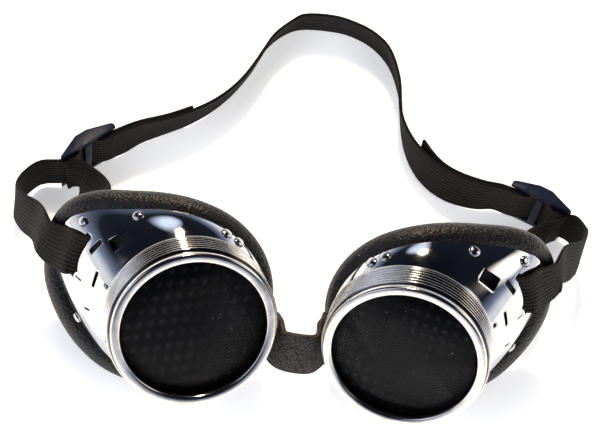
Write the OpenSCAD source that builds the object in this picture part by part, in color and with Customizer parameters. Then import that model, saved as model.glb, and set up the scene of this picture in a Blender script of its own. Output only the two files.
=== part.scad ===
// Welding goggles: two round-lens cups of pressed sheet, joined by a nose strip and held by an
// elastic headband. Names are by the wearer's side: left is +X, right is -X. The goggles lie
// tipped back on their face pads with the headband standing on its edge behind them, z = 0 is
// the table and +Y points away from the lenses.

/* [Lenses] */
// Diameter of each round lens
lens_d = 50; // [40:0.5:60]
// How far the ring's lip covers the edge of the lens
lip_cover = 2; // [1:0.1:3]
// Thickness of the clear cover lens
cover_lens_t = 1.6; // [1:0.1:3]
// Thickness of the shade lens
shade_lens_t = 3; // [2:0.1:4]
// Thickness of the front gasket
front_gasket_t = 0.5; // [0.3:0.1:1]
// Thickness of the rear gasket
rear_gasket_t = 0.9; // [0.5:0.1:1.5]

/* [Lens rings] */
// Number of rolled ridges round each ring
ridge_count = 6; // [3:1:8]
// Distance from ridge to ridge
ridge_pitch = 1.5; // [1.2:0.1:2]
// Height of a ridge
ridge_h = 0.9; // [0.4:0.1:1.2]
// Wall of the ring
ring_wall = 0.8; // [0.6:0.1:1.2]
// Length of the smooth shoulder behind the lip
shoulder_len = 2; // [1:0.1:4]
// Length of the plain bead at the rear edge of the ring
bead_len = 1.2; // [0.8:0.1:3]

/* [Cups] */
// Distance between the two lens centres
lens_spacing = 65.8; // [60:0.1:80]
// Sheet thickness of the cups
sheet_t = 0.7; // [0.5:0.1:1]
// Depth of the face pad behind the lens plane at the temple
temple_depth = 47.2; // [36:0.1:57]
// Depth of the face pad behind the lens plane at the nose
nose_depth = 23.5; // [22.5:0.1:29]
// How far the pad line stands outside the neck at the temple
temple_flare = 15.3; // [10:0.1:19]
// Outward bulge of the cup wall
wall_bulge = 1.2; // [0:0.1:2]
// Width of the slot for the headband
slot_w = 2.8; // [2.2:0.1:4]
// Play between the band's edges and the ends of its slot
slot_play = 1.4; // [1:0.1:2]

/* [Face pads] */
// Diameter of the leatherette roll
pad_d = 9.2; // [7:0.1:11]
// Thickness of the leatherette
cover_t = 0.9; // [0.6:0.1:1.4]
// Width of the skirt that is riveted inside the cup
skirt_w = 7; // [6:0.1:8]
// Diameter of a rivet head
rivet_head_d = 3.8; // [3:0.1:4.4]

/* [Light baffles] */
// Height of the air gap between a cup wall and its baffle
baffle_gap = 2.4; // [1.5:0.1:3.5]
// Sheet thickness of a baffle
baffle_t = 0.5; // [0.4:0.1:0.8]

/* [Headband] */
// Width of the webbing
band_w = 15; // [12:0.5:17]
// Thickness of the webbing
band_t = 1.2; // [0.8:0.1:1.3]

/* [Sliders] */
// Length of a slider along the band
slider_len = 23; // [20:0.5:27]
// Thickness of a slider's rails
rail_t = 1.6; // [1.2:0.1:2.4]
// Play between the webbing's edges and the rails
rail_play = 0.4; // [0.2:0.1:1]

/* [Nose strip] */
// Width of the nose strip
strip_w = 14.5; // [10:0.5:16]
// Thickness of the nose strip
strip_t = 1.8; // [1.2:0.1:2.4]

/* [Hidden] */

LEFT = 0;
RIGHT = 1;
// Distance from the lens plane to the middle of the whole model along Y
front_y = -69;
// Each cup's own lean: tip of the lens axis from straight up, toe-in, roll about the axis
cup_tip = [61, 51];
cup_toe = [-10.8, -13.2];
cup_roll = [7, 0];
cup_y = [1.2, 0];

// Clearances
lens_clear = 0.2;
thread_clear = 0.2;
ring_gap = 0.3;
lip_gap = 0.1;
seat_gap = 0.15;
rivet_clear = 0.12;
tail_clear = 0.2;

// Radii of the lens stack, the ring and the neck
lens_r = lens_d / 2;
opening_r = lens_r - lip_cover;
land_r = lens_r + lens_clear;
ring_root_r = land_r + ring_wall;
ring_crest_r = ring_root_r + ridge_h;
neck_r = land_r - thread_clear;
thread_h = 0.4;
neck_bore_r = lens_r - 1.6;

// Places along the lens axis, counted back from the lens plane
lip_t = 0.9;
lip_crown = 0.3;
front_gasket_z = -lip_t - lip_gap;
cover_z = front_gasket_z - front_gasket_t;
shade_z = cover_z - cover_lens_t;
rear_gasket_z = shade_z - shade_lens_t;
neck_front_z = rear_gasket_z - rear_gasket_t;
ridge_end_z = -shoulder_len - ridge_count * ridge_pitch;
ring_end_z = ridge_end_z - bead_len;
shell_z = ring_end_z - ring_gap;
neck_end_z = shell_z - 1.4;

// Face pad line, every 30 degrees from the temple over the top to the nose and back
// under: share of the depth between nose and temple, and share of the temple flare
pad_r = pad_d / 2;
DEPTH_SHARE = [1, 0.76, 0.38, 0.1, 0.02, 0, 0, 0, 0.02, 0.15, 0.45, 0.8];
FLARE_SHARE = [0.78, 1, 0.48, 0.24, 0.09, 0, -0.03, 0, 0.07, 0.18, 0.34, 0.48];
pad_base_r = neck_r + 0.2;
rim_angle = 68;

// Facets
turn_steps = 60;
wall_rows = 6;
pad_sides = 12;

// ---- Curves ----

// Smooth value at position t (in list steps) of a list that closes on itself
function looped(v, t) =
    let (n = len(v), i = floor(t), f = t - i,
        a = v[(i - 1 + n) % n], b = v[(i + n) % n],
        c = v[(i + 1) % n], d = v[(i + 2) % n])
    b + 0.5 * f * (c - a + f * (2 * a - 5 * b + 4 * c - d + f * (3 * (b - c) + d - a)));

function round_deg(deg) = (deg + 720) % 360;
function pad_reach(deg) = pad_base_r + temple_flare * looped(FLARE_SHARE, round_deg(deg) / 30);
function pad_depth(deg) =
    nose_depth + (temple_depth - nose_depth) * looped(DEPTH_SHARE, round_deg(deg) / 30);
function polar(r, deg, z) = [r * cos(deg), r * sin(deg), z];
function pad_point(deg) = polar(pad_reach(deg), deg, -pad_depth(deg));

function unit(v) = v / norm(v);
function lerp(a, b, t) = a + (b - a) * t;

// Points of the pad roll's section on a circle of radius r, at angles turned from the
// outside towards the lens
function pad_arc(deg, r, turns) =
    let (along = unit(pad_point(deg + 1) - pad_point(deg - 1)),
        out0 = [cos(deg), sin(deg), 0], out = unit(out0 - along * (out0 * along)),
        front = cross(out, along))
    [for (a = turns) pad_point(deg) + r * (out * cos(a) + front * sin(a))];

// The cup wall: s runs from 0 at the neck to 1 at the rim, d is the depth under the skin
wall_top_r = ring_root_r + 0.2;
wall_top_z = shell_z - 0.3;
function wall_top(deg) = polar(wall_top_r, deg, wall_top_z);
function rim_point(deg) = pad_arc(deg, pad_r + seat_gap, [rim_angle])[0];
function wall_skin(deg, s) =
    lerp(wall_top(deg), rim_point(deg), s)
        + polar(wall_bulge * min(1, wall_len(deg) / 24) * sin(180 * min(1, max(0, s))), deg, 0);
function wall_normal(deg, s) =
    unit(cross(wall_skin(deg + 1, s) - wall_skin(deg - 1, s),
        wall_skin(deg, s - 0.05) - wall_skin(deg, s + 0.05)));
function wall_point(deg, s, d = 0) = wall_skin(deg, s) - d * wall_normal(deg, s);
function wall_len(deg) = norm(rim_point(deg) - wall_top(deg));
// Position on the wall that lies mm short of the rim
function short_of_rim(deg, mm) = 1 - mm / wall_len(deg);
function rivet_s(at) = short_of_rim(at[0], at[1]);

// ---- Placing the two cups ----

function turn_x(p, a) = [p.x, p.y * cos(a) - p.z * sin(a), p.y * sin(a) + p.z * cos(a)];
function turn_y(p, a) = [p.x * cos(a) + p.z * sin(a), p.y, -p.x * sin(a) + p.z * cos(a)];
function turn_z(p, a) = [p.x * cos(a) - p.y * sin(a), p.x * sin(a) + p.y * cos(a), p.z];
function leaned(side, p) =
    turn_x(turn_y(turn_z(p, cup_roll[side]), cup_toe[side]), cup_tip[side]);
// Each cup stands with the lowest point of its pad on the table
cup_z = [for (side = [LEFT, RIGHT])
    pad_r - min([for (deg = [0 : 5 : 355]) leaned(side, pad_point(deg)).z])];
function mirrored(side, p) = side == LEFT ? p : [-p.x, p.y, p.z];
function cup_place(side, p) =
    mirrored(side, leaned(side, p) + [lens_spacing / 2, front_y + cup_y[side], cup_z[side]]);
function cup_dir(side, v) = mirrored(side, leaned(side, v));

module cup(side) {
    mirror([side == LEFT ? 0 : 1, 0, 0])
        translate([lens_spacing / 2, front_y + cup_y[side], cup_z[side]])
            rotate([cup_tip[side], 0, 0]) rotate([0, cup_toe[side], 0])
                rotate([0, 0, cup_roll[side]]) children();
}

// ---- Solids from rows of points ----

// Faces of a tube whose rings of n points follow each other and close on themselves
function torus_faces(rings, n) = [for (i = [0 : rings - 1], j = [0 : n - 1])
    let (a = i * n + j, b = i * n + (j + 1) % n,
        c = ((i + 1) % rings) * n + (j + 1) % n, d = ((i + 1) % rings) * n + j)
    each [[a, b, c], [a, c, d]]];

// Faces of an open tube with its two ends capped
function rod_faces(rings, n) = concat(
    [for (i = [0 : rings - 2], j = [0 : n - 1])
        let (a = i * n + j, b = i * n + (j + 1) % n, c = a + n, d = b + n)
        each [[a, b, d], [a, d, c]]],
    [[for (j = [n - 1 : -1 : 0]) j]], [[for (j = [0 : n - 1]) (rings - 1) * n + j]]);

// A ring-shaped solid whose section, a closed list of points, is asked for at each angle
module swept_ring(sections) {
    polyhedron([for (section = sections) each section],
        torus_faces(len(sections), len(sections[0])), convexity = 10);
}

// A flat band along stations of [point, width direction], of width w and thickness t
module ribbon(stations, w, t) {
    n = len(stations);
    points = [for (i = [0 : n - 1])
        let (p = stations[i][0],
            along = unit(stations[min(i + 1, n - 1)][0] - stations[max(i - 1, 0)][0]),
            wide0 = stations[i][1],
            wide = unit(wide0 - along * (wide0 * along)), out = cross(along, wide))
        each [p - wide * w / 2 - out * t / 2, p - wide * w / 2 + out * t / 2,
            p + wide * w / 2 + out * t / 2, p + wide * w / 2 - out * t / 2]];
    polyhedron(points, rod_faces(n, 4), convexity = 10);
}

// Stations between stations, on a smooth curve through all of them that keeps its shape
// where they lie unevenly
function smooth_run(st, steps) =
    let (n = len(st), root = function (u) sqrt(max(0.01, norm(u[0]))),
        at = function (i) i < 0 ? 2 * st[0] - st[1] : i >= n ? 2 * st[n - 1] - st[n - 2] : st[i])
    [for (i = [0 : n - 2])
        let (a = at(i - 1), b = st[i], c = st[i + 1], d = at(i + 2), p = root(b - a),
            q = root(c - b), r = root(d - c), m = c - b + q * ((b - a) / p - (c - a) / (p + q)),
            k = c - b + q * ((d - c) / r - (d - b) / (q + r)))
        for (j = [0 : steps - (i == n - 2 ? 0 : 1)])
            let (f = j / steps)
            b + f * m + f * f * (3 * (c - b) - 2 * m - k) + f * f * f * (m + k - 2 * (c - b))];

// ---- Lens rings, necks, lenses ----

function ridge_profile(r0, h, z0, count, pitch) = [for (i = [0 : count * 8])
    [r0 + h * (0.5 - 0.5 * cos(45 * i)), z0 - i * pitch / 8]];
function reversed(v) = [for (i = [len(v) - 1 : -1 : 0]) v[i]];

module lens_ring(side) {
    ridges = ridge_profile(ring_root_r, ridge_h, -shoulder_len, ridge_count, ridge_pitch);
    lip = [[opening_r, -lip_t], [opening_r, -0.3], [opening_r + 0.35, 0.1],
        [opening_r + 1.2, lip_crown], [ring_root_r - 0.8, lip_crown - 0.1],
        [ring_root_r - 0.25, -0.25], [ring_root_r, -0.9]];
    bead = [[ring_crest_r, ridge_end_z - 0.1], [ring_crest_r, ring_end_z],
        [ring_root_r - ring_wall, ring_end_z]];
    color("gainsboro") cup(side) rotate_extrude($fn = 96)
        polygon(concat(lip, ridges, bead,
            reversed([for (p = ridges) [p.x - ring_wall, p.y]]), [[land_r, -lip_t]]));
}

module neck(side) {
    thread = ridge_profile(neck_r - thread_h, thread_h, neck_front_z - 0.4,
        floor((neck_front_z - 0.4 - ring_end_z) / ridge_pitch), ridge_pitch);
    color("silver") cup(side) rotate_extrude($fn = 96)
        polygon(concat([[neck_bore_r, neck_front_z], [neck_r - thread_h, neck_front_z]], thread,
            [[neck_r, ring_end_z], [neck_r, neck_end_z], [neck_bore_r, neck_end_z]]));
}

// A disc or flat ring in the lens stack, its edges broken by a small chamfer
module stack_disc(side, front_z, t, r, bore_r = 0) {
    c = min(0.2, t / 4);
    cup(side) rotate_extrude($fn = 96)
        polygon([[bore_r, front_z], [r - c, front_z], [r, front_z - c],
            [r, front_z - t + c], [r - c, front_z - t], [bore_r, front_z - t]]);
}

module front_gasket(side) {
    color("dimgray") stack_disc(side, front_gasket_z, front_gasket_t, lens_r, opening_r + 0.2);
}

module cover_lens(side) {
    color([0.8, 0.9, 0.9, 0.4]) stack_disc(side, cover_z, cover_lens_t, lens_r);
}

module shade_lens(side) {
    color([0.05, 0.09, 0.06]) stack_disc(side, shade_z, shade_lens_t, lens_r);
}

module rear_gasket(side) {
    color("dimgray") stack_disc(side, rear_gasket_z, rear_gasket_t, lens_r, neck_bore_r);
}

// ---- Cup shells ----

// Puts its children on the cup wall, +Z out of the wall and +X along its lines
module on_wall(deg, s, twist = 0) {
    out = wall_normal(deg, s);
    level = unit([-out.y, out.x, 0]);
    line = wall_skin(deg + 5, s) - wall_skin(deg - 5, s);
    tilt = atan2(line * cross(out, level), line * level);
    translate(wall_skin(deg, s))
        rotate([0, acos(out.z), atan2(out.y, out.x)]) rotate([0, 0, 90 + tilt + twist])
            children();
}

// Rivets that hold the pad, from the temple over the top: angle and distance from the rim
PAD_RIVETS = [[35, 5], [60, 4.8], [111, 3.7], [121, 3.7], [238, 3.6], [250, 3.6], [290, 4.2],
    [335, 4.8]];
// Angle and place of the small rivets that hold the baffle
BAFFLE_RIVETS = [[15, 0.07], [-28, 0.09]];
// The rivet that holds the nose strip
strip_deg = 192;
NOSE_RIVET = [strip_deg, 2.8];
rivet_shank_r = rivet_head_d * 0.29;
small_rivet_k = 0.6;
slot_deg = 20;
slot_s = 0.56;

module rivet_hole(k = 1) {
    cylinder(r = rivet_shank_r * k + 0.08, h = 12, center = true, $fn = 24);
}

module vent(deg, s, along_rim, along_axis, twist = 0) {
    on_wall(deg, s, twist) cube([along_rim, along_axis, 5], center = true);
}

module vents() {
    vent(43, 0.3, 6.6, 4.6, -4);
    vent(30.5, 0.42, 5.4, 2);
    vent(15, 0.22, 5.6, 1.4);
    vent(8.5, 0.46, 0.8, 3.4);
    vent(-8, 0.31, 0.8, 3.4);
}

// The edge of the sheet is bevelled where the roll of the pad lies under it
rim_bevel = 0.9;

module cup_shell(side) {
    skin = [for (deg = TURNS) concat([polar(neck_r + seat_gap, deg, shell_z - sheet_t)],
        [for (k = [0 : wall_rows])
            wall_point(deg, min(k / wall_rows, short_of_rim(deg, rim_bevel)), sheet_t)],
        [for (k = [wall_rows : -1 : 0]) wall_skin(deg, k / wall_rows)],
        [polar(wall_top_r - 0.3, deg, shell_z), polar(neck_r + seat_gap, deg, shell_z)])];
    color("lightsteelblue") cup(side) difference() {
        swept_ring(skin);
        vents();
        vent(slot_deg, slot_s, band_w + 2 * slot_play, slot_w);
        for (at = PAD_RIVETS) on_wall(at[0], rivet_s(at)) rivet_hole();
        for (at = BAFFLE_RIVETS) on_wall(at[0], at[1]) rivet_hole(small_rivet_k);
        on_wall(strip_deg, rivet_s(NOSE_RIVET)) rivet_hole();
    }
}

// ---- Face pads ----

TURNS = [for (i = [0 : turn_steps - 1]) i * 360 / turn_steps];

// The cover is open along a seam on its inner side, where its edge is tucked under
seam_deg = [-228, 122];
COVER_ARC = [for (i = [0 : pad_sides]) lerp(seam_deg[0], seam_deg[1], i / pad_sides)];
function cover_section(deg) =
    concat(pad_arc(deg, pad_r, COVER_ARC), pad_arc(deg, pad_r - cover_t, reversed(COVER_ARC)));

skirt_top_d = sheet_t + seat_gap;
function skirt_section(deg) =
    let (w = min(skirt_w, wall_len(deg) - (wall_top_z - neck_end_z) - 2 * seat_gap),
        low = short_of_rim(deg, 0.1), mid = short_of_rim(deg, w / 2),
        high = short_of_rim(deg, w), d0 = skirt_top_d, d1 = skirt_top_d + cover_t)
    [wall_point(deg, high, d1), wall_point(deg, mid, d1), wall_point(deg, low, d1),
        wall_point(deg, low, d0), wall_point(deg, mid, d0), wall_point(deg, high, d0)];

module face_pad(side) {
    color([0.16, 0.14, 0.13]) cup(side) difference() {
        union() {
            swept_ring([for (deg = TURNS) cover_section(deg)]);
            swept_ring([for (deg = TURNS) skirt_section(deg)]);
        }
        for (at = PAD_RIVETS) on_wall(at[0], rivet_s(at)) rivet_hole();
        on_wall(strip_deg, rivet_s(NOSE_RIVET)) rivet_hole();
    }
}

module pad_core(side) {
    color("tan") cup(side) swept_ring([for (deg = TURNS)
        pad_arc(deg, pad_r - cover_t - 2 * seat_gap, [for (j = [0 : pad_sides - 1])
            j * 360 / pad_sides])]);
}

// ---- Rivets ----

// A rivet whose domed head sits on the wall and whose tail closes at depth grip
module rivet(grip, k = 1) {
    head_r = rivet_head_d / 2 * k;
    head_h = head_r * 0.5;
    shank_r = rivet_shank_r * k;
    dome = [for (a = [0 : 15 : 90]) [head_r * cos(a), rivet_clear + head_h * sin(a)]];
    rotate_extrude($fn = 32)
        polygon(concat([[shank_r, rivet_clear]], dome,
            [[0, -grip - 0.6], [head_r * 0.8, -grip - 0.6], [head_r * 0.8, -grip],
                [shank_r, -grip]]));
}

module pad_rivets(side) {
    color("whitesmoke") cup(side) for (at = PAD_RIVETS)
        on_wall(at[0], rivet_s(at)) rivet(skirt_top_d + cover_t + tail_clear);
}

module baffle_rivets(side) {
    color("whitesmoke") cup(side) for (at = BAFFLE_RIVETS)
        on_wall(at[0], at[1]) rivet(sheet_t + seat_gap + baffle_t + rivet_clear, small_rivet_k);
}

// ---- Light baffles ----

BAFFLE_SPAN = [-36, 58];
baffle_steps = 18;
baffle_s = [0.03, 0.15, 0.22, 0.34, 0.41, 0.49];
baffle_lift = [0, 0, 1, 1, 0, 0];
function baffle_row(deg) =
    let (d = [for (k = baffle_lift) sheet_t + seat_gap + k * baffle_gap])
    concat([for (k = [0 : 5]) wall_point(deg, baffle_s[k], d[k] + baffle_t)],
        [for (k = [5 : -1 : 0]) wall_point(deg, baffle_s[k], d[k])]);

module baffle(side) {
    rows = [for (i = [0 : baffle_steps])
        baffle_row(lerp(BAFFLE_SPAN[0], BAFFLE_SPAN[1], i / baffle_steps))];
    color("slategray") cup(side) difference() {
        polyhedron([for (row = rows) each row], rod_faces(len(rows), 12), convexity = 10);
        for (at = BAFFLE_RIVETS) on_wall(at[0], at[1]) rivet_hole(small_rivet_k);
    }
}

// ---- Nose strip ----

strip_gap = 0.25;
function strip_station(side, s, lift = 0) =
    [cup_place(side, wall_point(strip_deg, s, -(strip_t / 2 + strip_gap + lift))),
        cup_dir(side, [sin(strip_deg), -cos(strip_deg), 0])];
STRIP_MIDDLE = [for (p = [[-5.5, 5.4, 28.4], [1, 3.7, 29.8], [5.8, 4.9, 28.9]])
    [[p.x, front_y + p.y, p.z], [0, 0.55, 0.83]]];

module nose_strip() {
    half = function (side) [strip_station(side, 0.86), strip_station(side, 0.6),
        strip_station(side, 0.34, 0.1), strip_station(side, 0.05, 1.1)];
    color([0.13, 0.11, 0.1]) difference() {
        ribbon(smooth_run(concat(half(RIGHT), STRIP_MIDDLE, reversed(half(LEFT))), 4),
            strip_w, strip_t);
        for (side = [LEFT, RIGHT])
            cup(side) on_wall(strip_deg, rivet_s(NOSE_RIVET)) rivet_hole();
    }
}

module nose_rivet(side) {
    lift = strip_gap + strip_t + 0.1;
    color("whitesmoke") cup(side) on_wall(strip_deg, rivet_s(NOSE_RIVET))
        translate([0, 0, lift]) rivet(lift + skirt_top_d + cover_t + tail_clear);
}

// ---- Sliders ----

// Loop end of each slider on the table, and its bearing towards the head end
SLIDER_AT = [[91.7, 76.6], [86.3, 69.9]];
SLIDER_TURN = [158.4, 135.3];
slider_h = band_w + 2 * (rail_play + rail_t);
// Thickness of a slider and of its bars
arch_h = 4.7;
bar_t = 1.1;
layer_gap = 0.1;
web_pitch = band_t + layer_gap;

function slider_point(side, along, out, z) =
    mirrored(side, [SLIDER_AT[side].x, SLIDER_AT[side].y + front_y, 0]
        + turn_z([along, -out, z], SLIDER_TURN[side]));

module slider(side) {
    l = slider_len;
    outline = [[0, 0], [l, 0], [l, 1.5], [l - 1, 2.2], [0.6 * l, arch_h], [0.4 * l, arch_h],
        [0.5, 0.8]];
    color([0.1, 0.11, 0.15]) mirror([side == LEFT ? 0 : 1, 0, 0])
        translate([SLIDER_AT[side].x, SLIDER_AT[side].y + front_y, 0])
            rotate([0, 0, SLIDER_TURN[side]]) mirror([0, 1, 0]) {
                for (z = [0, slider_h - rail_t])
                    translate([0, 0, z]) linear_extrude(rail_t) polygon(outline);
                translate([0, 0, rail_t]) {
                    h = slider_h - 2 * rail_t;
                    translate([0.13 * l, 1, 0]) cube([2, bar_t, h]);
                    translate([0.8 * l, 1.05, 0]) cube([2, bar_t, h]);
                    translate([0.44 * l, -0.3, 0]) cube([2.6, bar_t, h]);
                }
            }
}

// ---- Headband ----

TALL = [0, 0, 1];
band_slider_z = slider_h / 2;
// Lower edge of the run round the back of the head, from the right slider to the left one,
// with its height and how far the upper edge leans inwards
HEAD_RUN = [[-61.7, 91.4, 1.8, 1.5], [-53.5, 97, 1.5, 3], [-46, 102.3, 1, 3.5],
    [-38.5, 109.4, 0.6, 4], [-32, 118, 0.3, 4], [-26, 129.5, 0, 3.5], [-22, 140.2, 0, 4],
    [-16, 148.4, 0, 4.5], [-10, 152.5, 0, 4], [2, 154, 0, 4], [10, 153.2, 0, 4.5],
    [19, 149, 0, 4], [26, 141.2, 0, 3], [31, 127, 0, 2.8], [32.4, 114, 0, 3], [33.6, 106.8, 0.2, 2],
    [36.2, 99.2, 0.4, 0.3], [39.7, 93.1, 0.7, -1.5], [44.5, 88.3, 1, -2.3],
    [51, 84.8, 1.4, -2.6], [60.5, 83.4, 1.8, -1.5]];
// How far each tail stands off the head run, from the slider outwards
LEFT_TAIL = [1.3, 1.4, 1.6, 2.2, 3.2];
RIGHT_TAIL = [1.3, 1.3, 1.35];
// Middle of the doubled webbing across a slider: place along it and height over its chord
WEAVE = [[26, -1.4], [22.5, -0.9], [19.4, -0.5], [17.2, 0.1], [14.8, 1.5], [12.6, 2.3],
    [10.1, 2.3], [8, 1.3], [6, 0], [3.8, -0.5], [1.5, -0.6]];
// The loops between the slider and the cup, in the wearer's-left sense
OUTER_LOOP = [[[94.4, 74.8, 10.3], [96.6, 67.5, 14], [95, 60.6, 19], [91.4, 54, 25], [86.2, 47.5, 33]],
    [[93.2, 69.2, 9.2], [98.2, 61.8, 11], [99, 54.5, 14], [95.6, 47.8, 18.5], [90, 41.2, 25]]];
INNER_LOOP = [[[86, 71.5, 11], [82, 64.5, 15], [78, 57.5, 20.5], [75.5, 50.5, 27]],
    [[80.8, 69.5, 10.5], [77, 63.5, 14], [73.2, 57, 19], [71.5, 50, 24]]];
// How far the inner loops lean in on the way
inner_lean = [-0.7, -0.3, 0];

function on_head_run(k, off) =
    let (n = len(HEAD_RUN), h = HEAD_RUN[k], a = HEAD_RUN[max(0, k - 1)],
        b = HEAD_RUN[min(n - 1, k + 1)], along = unit([b.x - a.x, b.y - a.y, 0]),
        inward = [along.y, -along.x, 0], wide = unit(TALL * band_w + inward * h[3]),
        low = abs(wide * inward) * band_t / 2)
    [[h.x, h.y + front_y, h.z + low] + wide * band_w / 2 - inward * off, wide];
function weave(side, layer) = [for (w = WEAVE)
    [slider_point(side, w[0] * slider_len / 23, w[1] + layer * web_pitch / 2, band_slider_z),
        TALL]];
// A station of the band on the cup at an angle: across the band it follows the surface
// that f(angle) describes, outside it or inside it
half_band_deg = 10.6;
rim_deg = slot_deg - 3.5;
function cup_station(side, at, f, inside = false) =
    let (a = f(at - half_band_deg), b = f(at + half_band_deg))
    [cup_place(side, inside ? (a + b) / 2 : f(at)), cup_dir(side, unit(b - a))];

// Stations where the band wraps the rim: over the pad, in through the slot, out behind
band_off = band_t / 2 + 0.8;
inner_off = skirt_top_d + cover_t + band_off + 0.7;
function rim_wrap(side) =
    let (len = wall_len(slot_deg), bend = (band_off + inner_off) / 2,
        mid = (inner_off - band_off) / 2, turn_s = slot_s + bend / len,
        pad_off = pad_r + band_off)
    [for (turn = [10, 40]) cup_station(side, rim_deg,
            function (deg) pad_arc(deg, pad_off, [turn])[0]),
        cup_station(side, lerp(rim_deg, slot_deg, 0.4),
            function (deg) wall_point(deg, 0.82, -band_off)),
        for (a = [0 : 45 : 180]) cup_station(side, slot_deg, function (deg) wall_point(deg,
            turn_s - bend * sin(a) / len, mid - bend * cos(a)), a > 45),
        cup_station(side, lerp(rim_deg, slot_deg, 0.5),
            function (deg) wall_point(deg, 0.78, inner_off), true),
        for (turn = [135, 170]) cup_station(side, rim_deg,
            function (deg) pad_arc(deg, pad_off + 2, [turn])[0], true)];

// The loops turn upright on their way from the cup to the slider
function loop_stations(side, list, lean = [0, 0, 0]) =
    let (n = len(list), wide = cup_dir(side, unit(pad_point(rim_deg + 5) - pad_point(rim_deg - 5))))
    [for (i = [0 : n - 1]) [mirrored(side, list[i] + [0, front_y, 0]),
        unit(lerp(TALL, wide, i / n) + sin(180 * i / n) * mirrored(side, lean))]];
function side_run(side) = concat(weave(side, 1), loop_stations(side, OUTER_LOOP[side]),
    rim_wrap(side), reversed(loop_stations(side, INNER_LOOP[side], inner_lean)),
    reversed(weave(side, -1)));
function tail(side) = side == RIGHT
    ? [for (k = [len(RIGHT_TAIL) - 1 : -1 : 0]) on_head_run(k, RIGHT_TAIL[k])]
    : [for (k = [len(LEFT_TAIL) - 1 : -1 : 0])
        on_head_run(len(HEAD_RUN) - 1 - k, LEFT_TAIL[k])];

module headband() {
    stations = concat(tail(RIGHT), side_run(RIGHT),
        [for (k = [0 : len(HEAD_RUN) - 1]) on_head_run(k, 0)],
        reversed(side_run(LEFT)), reversed(tail(LEFT)));
    color([0.24, 0.22, 0.21]) ribbon(smooth_run(stations, 3), band_w, band_t);
}

cup_shell(LEFT);  // left_cup_shell
cup_shell(RIGHT);  // right_cup_shell
neck(LEFT);  // left_neck
neck(RIGHT);  // right_neck
lens_ring(LEFT);  // left_lens_ring
lens_ring(RIGHT);  // right_lens_ring
cover_lens(LEFT);  // left_cover_lens
cover_lens(RIGHT);  // right_cover_lens
shade_lens(LEFT);  // left_shade_lens
shade_lens(RIGHT);  // right_shade_lens
front_gasket(LEFT);  // left_front_gasket
front_gasket(RIGHT);  // right_front_gasket
rear_gasket(LEFT);  // left_rear_gasket
rear_gasket(RIGHT);  // right_rear_gasket
face_pad(LEFT);  // left_face_pad
face_pad(RIGHT);  // right_face_pad
pad_core(LEFT);  // left_pad_core
pad_core(RIGHT);  // right_pad_core
pad_rivets(LEFT);  // left_pad_rivets
pad_rivets(RIGHT);  // right_pad_rivets
baffle(LEFT);  // left_baffle
baffle(RIGHT);  // right_baffle
baffle_rivets(LEFT);  // left_baffle_rivets
baffle_rivets(RIGHT);  // right_baffle_rivets
nose_strip();
nose_rivet(LEFT);  // left_nose_rivet
nose_rivet(RIGHT);  // right_nose_rivet
headband();
slider(LEFT);  // left_slider
slider(RIGHT);  // right_slider
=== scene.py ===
"""Dresses the welding goggles: chromed cups, lens rings, glasses, rolled pads and webbing."""
import logging
import math
from dataclasses import dataclass, field
from enum import Enum
from typing import Callable, Sequence

import bpy
import numpy as np
from mathutils import Matrix, Vector


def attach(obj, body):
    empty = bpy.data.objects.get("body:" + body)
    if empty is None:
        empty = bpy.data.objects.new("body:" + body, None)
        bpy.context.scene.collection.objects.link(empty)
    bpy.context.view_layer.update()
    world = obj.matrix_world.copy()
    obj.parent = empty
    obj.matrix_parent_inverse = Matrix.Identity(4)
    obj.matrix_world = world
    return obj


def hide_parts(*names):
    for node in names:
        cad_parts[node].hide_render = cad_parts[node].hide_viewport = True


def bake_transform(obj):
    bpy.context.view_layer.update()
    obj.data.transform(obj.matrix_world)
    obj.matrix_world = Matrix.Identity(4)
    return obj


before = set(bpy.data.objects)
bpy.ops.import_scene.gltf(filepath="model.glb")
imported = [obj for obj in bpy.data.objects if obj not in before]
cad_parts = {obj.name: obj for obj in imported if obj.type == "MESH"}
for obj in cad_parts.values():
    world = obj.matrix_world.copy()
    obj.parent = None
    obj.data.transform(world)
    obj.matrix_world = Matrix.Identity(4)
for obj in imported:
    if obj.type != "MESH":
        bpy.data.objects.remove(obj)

log = logging.getLogger("goggles")

MM = 0.001
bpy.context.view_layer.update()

WAVE_SCALE = 0.314      # a wave texture of scale 1 repeats every 2 pi / 20

Point = tuple[float, float, float]
Station = tuple[np.ndarray, np.ndarray]
Piece = bpy.types.Object
Tree = bpy.types.NodeTree
Node = bpy.types.Node
Socket = bpy.types.NodeSocket
Material = bpy.types.Material


class Side(Enum):
    """The two halves of the goggles, by the wearer's side."""

    LEFT = "left"
    RIGHT = "right"

    @property
    def sign(self) -> int:
        """+1 on the wearer's left, which is +X, and -1 on the right."""
        return 1 if self is Side.LEFT else -1

    @property
    def body(self) -> str:
        """Name of the CAD body that the cup belongs to."""
        return f"{self.value}_cup"


# ---------------------------------------------------------------- colours and nodes


def hex_to_linear(code: str) -> tuple[float, float, float, float]:
    """Turns an sRGB hex colour into the linear values that a shader takes.

    Args:
        code: Colour as "#rrggbb".

    Returns:
        Linear red, green, blue and an alpha of 1.
    """
    parts = [int(code[i : i + 2], 16) / 255 for i in (1, 3, 5)]
    linear = [c / 12.92 if c <= 0.04045 else ((c + 0.055) / 1.055) ** 2.4 for c in parts]
    return (*linear, 1.0)


def add_node(tree: Tree, kind: str, settings: dict | None = None,
             links: dict | None = None) -> Node:
    """Adds one node with its settings and its incoming links.

    Args:
        tree: Node tree that gets the node.
        kind: Type name without its ShaderNode prefix.
        settings: Values for properties, or for inputs by name or number.
        links: Output sockets for inputs by name or number.

    Returns:
        The new node.
    """
    node = tree.nodes.new("ShaderNode" + kind)
    for key, value in (settings or {}).items():
        if isinstance(key, str) and hasattr(node, key):
            setattr(node, key, value)
        else:
            node.inputs[key].default_value = value
    for key, socket in (links or {}).items():
        tree.links.new(socket, node.inputs[key])
    return node


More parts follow.
